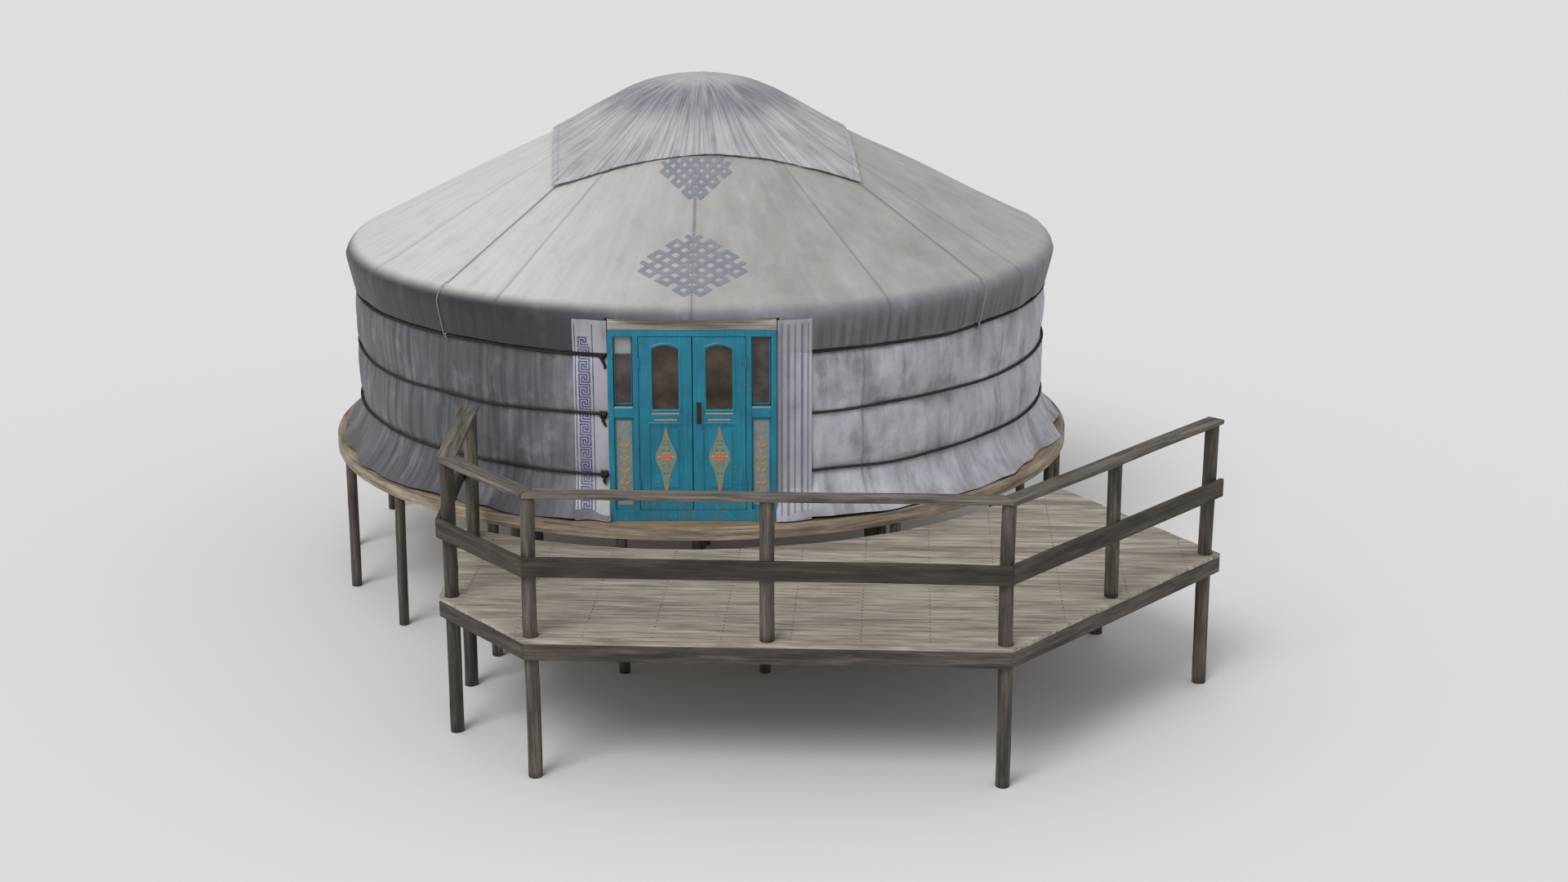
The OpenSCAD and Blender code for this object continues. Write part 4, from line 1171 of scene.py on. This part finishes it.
def cartouche(x, foot, wide, tall, count=40):
    """Outline of the painted field, counter-clockwise: slim foot, swell round the flower, long point."""
    share = np.linspace(0, 1, count)
    swell = np.exp(-((share - 0.56) / 0.17) ** 2)
    half = wide / 2 * (swell + 0.38 * np.sin(np.pi * share) ** 0.8 * (1 - swell))
    half[[0, -1]] = 0
    right = np.stack([x + half, foot + tall * share], -1)
    left = np.stack([x - half, foot + tall * share], -1)
    return np.concatenate([right, left[::-1][1:-1]])


def petal(x, y, turn, near, far, wide, count=10):
    """Outline of a petal or leaf that points away from a spot."""
    t = np.linspace(0, 2 * np.pi, count, endpoint=False)
    along = (near + far) / 2 + (far - near) / 2 * np.cos(t)
    side = wide / 2 * np.sin(t) * (1.15 - 0.35 * np.cos(t))
    return np.stack([x + along * math.cos(turn) - side * math.sin(turn),
                     y + along * math.sin(turn) + side * math.cos(turn)], -1)


def window_edge(x, foot, wide, tall, rise, grow_by):
    """Outline of a pane with a low curved top."""
    half = wide / 2 + grow_by
    top = np.linspace(half, -half, 15)
    arch = foot + tall - rise + grow_by + rise * (1 - (top / half) ** 2)
    sill = [(x - half, foot - grow_by), (x + half, foot - grow_by)]
    return np.concatenate([sill, np.stack([x + top, arch], -1)])


def add_ornament(name, body, parts, place, finish):
    """A painted or glued ornament on the door, as one piece."""
    mesh_name = name.replace("_leaf_", " ").replace("_", " ")
    add_piece(name, laid(mesh_name, parts, place), body, "door_paint", finish)


for side, body in ((-1, "left_door_leaf"), (1, "right_door_leaf")):
    x = side * leaf_mid
    name = body.split("_")[0]
    bead = [trail(window_edge(x, leaf_foot + 0.8, 0.2, 0.5, 0.034, 0.013), 0.02, 0.022, 0.009, True)]
    bead.append(trail(box_path(x, 0.13, 0.208, 0.784), 0.05, 0.014, 0.006, True))
    add_ornament(f"{name}_leaf_beads", body, bead, on_door, teal_paint)
    heart = 0.516
    field = [boss(cartouche(x, 0.218, 0.15, 0.532), 0.0012)]
    add_ornament(f"{name}_leaf_field", body, field, on_door, field_paint)

    def over_field(px, py, lift):
        return on_door(px, py, lift + 0.0014)
    gold = [trail(cartouche(x, 0.214, 0.156, 0.54), 0.012, 0.006, 0.003, True)]
    gold.append(trail([(x, 0.24), (x, 0.455)], 0.02, 0.005, 0.002))
    gold.append(trail([(x, 0.575), (x, 0.7)], 0.02, 0.005, 0.002))
    gold.append(boss(petal(x, heart, 0, -0.012, 0.012, 0.024), 0.006))
    for level, way in ((0.44, 1), (0.6, -1)):
        for hand in (-1, 1):
            t = np.linspace(0, 1.6 * math.pi, 14)
            curl = 0.015 * (1 - t / 8)
            coil = np.stack([x + hand * (0.018 - curl * np.cos(t)), level + way * curl * np.sin(t)], -1)
            gold.append(band(coil, 0.0045, 0.002))
    add_ornament(f"{name}_leaf_gold", body, gold, over_field, gold_paint)
    flower = [boss(petal(x, heart, k * math.pi / 4, 0.012, 0.044, 0.026), 0.004) for k in range(8)]
    flower += [boss(petal(x, y, math.pi / 2, -0.016, 0.016, 0.016), 0.003) for y in (0.27, 0.69)]
    add_ornament(f"{name}_leaf_flower", body, flower, over_field, orange_paint)
    leaves = []
    for level, way in ((0.47, -1), (0.56, 1), (0.38, 1), (0.61, 1), (0.64, 1)):
        for hand in (0.55, math.pi - 0.55):
            far = 0.046 if 0.4 < level < 0.6 else 0.03
            leaves.append(boss(petal(x, level, way * hand, 0.006, far, 0.016), 0.003))
    add_ornament(f"{name}_leaf_green", body, leaves, over_field, green_paint)
    rules = [band([(x - 0.085, level), (x + 0.085, level)], 0.011, 0.0015) for level in (0.187, 0.812)]
    rules += [boss(petal(x, heart, turn, 0.046, 0.066, 0.022), 0.003) for turn in (0, math.pi)]
    add_ornament(f"{name}_leaf_pink", body, rules, over_field, pink_paint)
    sill_rule = [band([(x - 0.105, 0.86), (x + 0.105, 0.86)], 0.014, 0.004)]
    add_ornament(f"{name}_leaf_sill_rule", body, sill_rule, on_door, beige_paint)

# Sidelights: above, a fixed pane with a bead; below, a grey panel with a gold stem of paired leaves.
# They belong to the frame and don't open.

side_mid = 0.525
panel_front = 0.030
grey_paint = plain_paint("panel grey", srgb(134, 142, 142), srgb(104, 116, 118))


def on_side_panel(rise):
    """Places points on the sidelights from x and the height above the floor, raised off the lower panel."""
    def place(x, y, lift):
        return np.stack([x, door_front + panel_front - 0.0004 - lift - rise, floor_z + y], -1)
    return place


side_field = []
side_gold = []
side_bead = []
side_rule = []
for side in (-1, 1):
    x = side * side_mid
    side_field.append(boss(box_path(x, 0.06, 0.125, 0.8), 0.001))
    side_gold.append(trail([(x, 0.16), (x, 0.66)], 0.04, 0.007, 0.0025))
    for k in range(5):
        level = 0.2 + 0.1 * k
        side_gold.append(boss(petal(x, level + 0.05, math.pi / 2, -0.017, 0.017, 0.022), 0.003))
        for turn in (0.7, math.pi - 0.7):
            side_gold.append(boss(petal(x, level - 0.02, turn, 0.008, 0.056, 0.02), 0.003))
    side_bead.append(trail(box_path(x, 0.052, 0.135, 0.79), 0.05, 0.008, 0.003, True))
    side_bead.append(trail(box_path(x, 0.066, 0.928, 1.456), 0.05, 0.010, 0.008, True))
    side_rule.append(band([(x - 0.07, 0.908), (x + 0.07, 0.908)], 0.012, 0.003))
add_ornament("sidelight_fields", "yurt", side_field, on_side_panel(0.0), grey_paint)
add_ornament("sidelight_gold", "yurt", side_gold, on_side_panel(0.0014), gold_paint)
add_ornament("sidelight_beads", "yurt", side_bead, on_side_panel(-0.010), teal_paint)
add_ornament("sidelight_rules", "yurt", side_rule, on_side_panel(0.024), beige_paint)

# Canvas strips beside the door: they close the joint between cover and frame. The left one lies under
# the ropes and has an old key border in blue, the right one hangs over the ropes with faded blue stripes.

strip_wide = 0.265
strip_foot = 0.012
strip_top = 1.585
print_rise = 0.0008


def on_strip(side, over):
    """Places points on a strip from the distance beside the frame and the height above the floor."""
    def place(x, y, lift):
        px = door_edge + 0.004 + x
        angle = np.arcsin(px / wall_profile(y)) * side % (2 * np.pi)
        radius = wall_radius(angle, y) + 0.004
        if over:
            radius = np.maximum(radius, 2.9885 + 0.003 * np.sin(9 * y + 20 * x))
        run = np.interp(y, roof_line[::-1, 1], roof_lengths[::-1])
        outside = np.interp(y, roof_line[::-1, 1], roof_line[::-1, 0]) + roof_fold(angle, run) + 0.004
        radius = np.where(y > 1.314, np.maximum(radius, outside), radius) + lift
        return np.stack([side * px, -np.sqrt(radius ** 2 - px ** 2), y + floor_z], -1)
    return place


key_cell = 0.02
key_unit = [(0, 0), (0, 4), (4, 4), (4, 1), (2, 1), (2, 2), (3, 2), (3, 3), (1, 3), (1, 0)]
key_path = []
for k in range(14):
    key_path += [(0.14 + key_cell * y, 0.06 + key_cell * (5 * k + x)) for x, y in key_unit]
strip_blue = faded_cloth("strip blue", srgb(86, 90, 132), srgb(126, 128, 152), srgb(168, 167, 172))
stripe_blue = faded_cloth("stripe blue", srgb(124, 126, 146), srgb(146, 147, 158), srgb(168, 167, 172))
# The creases get a painted highlight and painted shade, and the top is darker from dirt and painted shade.
strip_canvas = canvas("strip canvas", srgb(188, 187, 194), srgb(170, 169, 176), srgb(104, 102, 103),
                      seam=(4.0, 2.0), top_dirt_and_shade=(1.3, 1.6, 0.4), dirty_foot=(0.0, 0.14, 0.4),
                      streaky=0.25, creased=0.4)
for side, over, name in ((-1, False, "left"), (1, True, "right")):
    sx, sy = np.meshgrid(np.linspace(0, strip_wide, 17), np.linspace(strip_foot, strip_top, 190))
    place = on_strip(side, over)
    points = place(sx, sy, 0 * sx)
    uv = np.stack([sx, sy], -1)
    if side < 0:
        points = points[:, ::-1]
        uv = uv[:, ::-1]
    strip_mesh = grid_mesh(f"{name} strip", points, uv)
    if side < 0:
        lines = [trail(key_path, 0.01, 0.012, print_rise)]
        for x in (0.112, 0.248):
            lines.append(trail([(x, 0.03), (x, 1.55)], 0.01, 0.008, print_rise))
    else:
        stripes = ((0.035, 0.012), (0.085, 0.022), (0.135, 0.012), (0.19, 0.02), (0.235, 0.01))
        lines = [trail([(x, 0.03), (x, 1.55)], 0.01, wide, print_rise) for x, wide in stripes]
    strip = add_piece(f"{name}_door_strip", strip_mesh, "yurt", "canvas", strip_canvas)
    border_mesh = laid(f"{name} border", lines, lambda x, y, h: place(x, y, h + 0.0012))
    border = add_piece(f"{name}_strip_border", border_mesh, "yurt", "canvas",
                       strip_blue if side < 0 else stripe_blue)

# Studio: a pale floor, a soft key light from the upper left and even light all round.
# The camera looks at the yurt from the photo's side, framed closer.

camera = bpy.data.objects.new("camera", bpy.data.cameras.new("camera"))
camera.data.lens = 56.0
camera.data.clip_end = 500.0
camera.location = (0.556, -20.870, 7.088)
camera.rotation_euler = (math.radians(90 - 16.35), 0, math.radians(-0.45))
bpy.context.scene.collection.objects.link(camera)
bpy.context.scene.camera = camera
bpy.context.scene.view_settings.view_transform = "Standard"

floor_finish, start = new_surface("studio floor")
close_surface(start, srgb(226, 226, 226), 0.9, fixed={"Specular IOR Level": 0.1})
floor_mesh = bpy.data.meshes.new("studio floor")
floor_corners = [(x, y, -0.002) for x, y in box_path(0, 300, -300, 300)]
floor_mesh.from_pydata(floor_corners, [], [[0, 1, 2, 3]])
floor_mesh.materials.append(floor_finish)
studio_floor = bpy.data.objects.new("studio_floor", floor_mesh)
bpy.context.scene.collection.objects.link(studio_floor)

world = bpy.data.worlds.new("studio")
bpy.context.scene.world = world
world.use_nodes = True
world.node_tree.nodes.clear()
sky = Wire(world.node_tree)
rays = sky.add("ShaderNodeLightPath")
seen = sky.math("MAXIMUM", sky.math("MAXIMUM", rays.out("Is Camera Ray"), rays.out("Is Glossy Ray")),
                rays.out("Is Transmission Ray"))
even = sky.add("ShaderNodeBackground", {}, {"Color": (1.0, 1.0, 1.0, 1.0), "Strength": 0.62})
back = sky.add("ShaderNodeBackground", {}, {"Color": srgb(221, 221, 221), "Strength": 1.0})
both = sky.add("ShaderNodeMixShader", {}, {"Fac": seen, "Shader": even, "Shader_001": back})
sky.add("ShaderNodeOutputWorld", {}, {"Surface": both})

key = bpy.data.objects.new("key light", bpy.data.lights.new("key light", "SUN"))
key.data.energy = 1.45
key.data.angle = math.radians(30)
key.rotation_euler = (math.radians(42), 0, math.radians(-32))
bpy.context.scene.collection.objects.link(key)
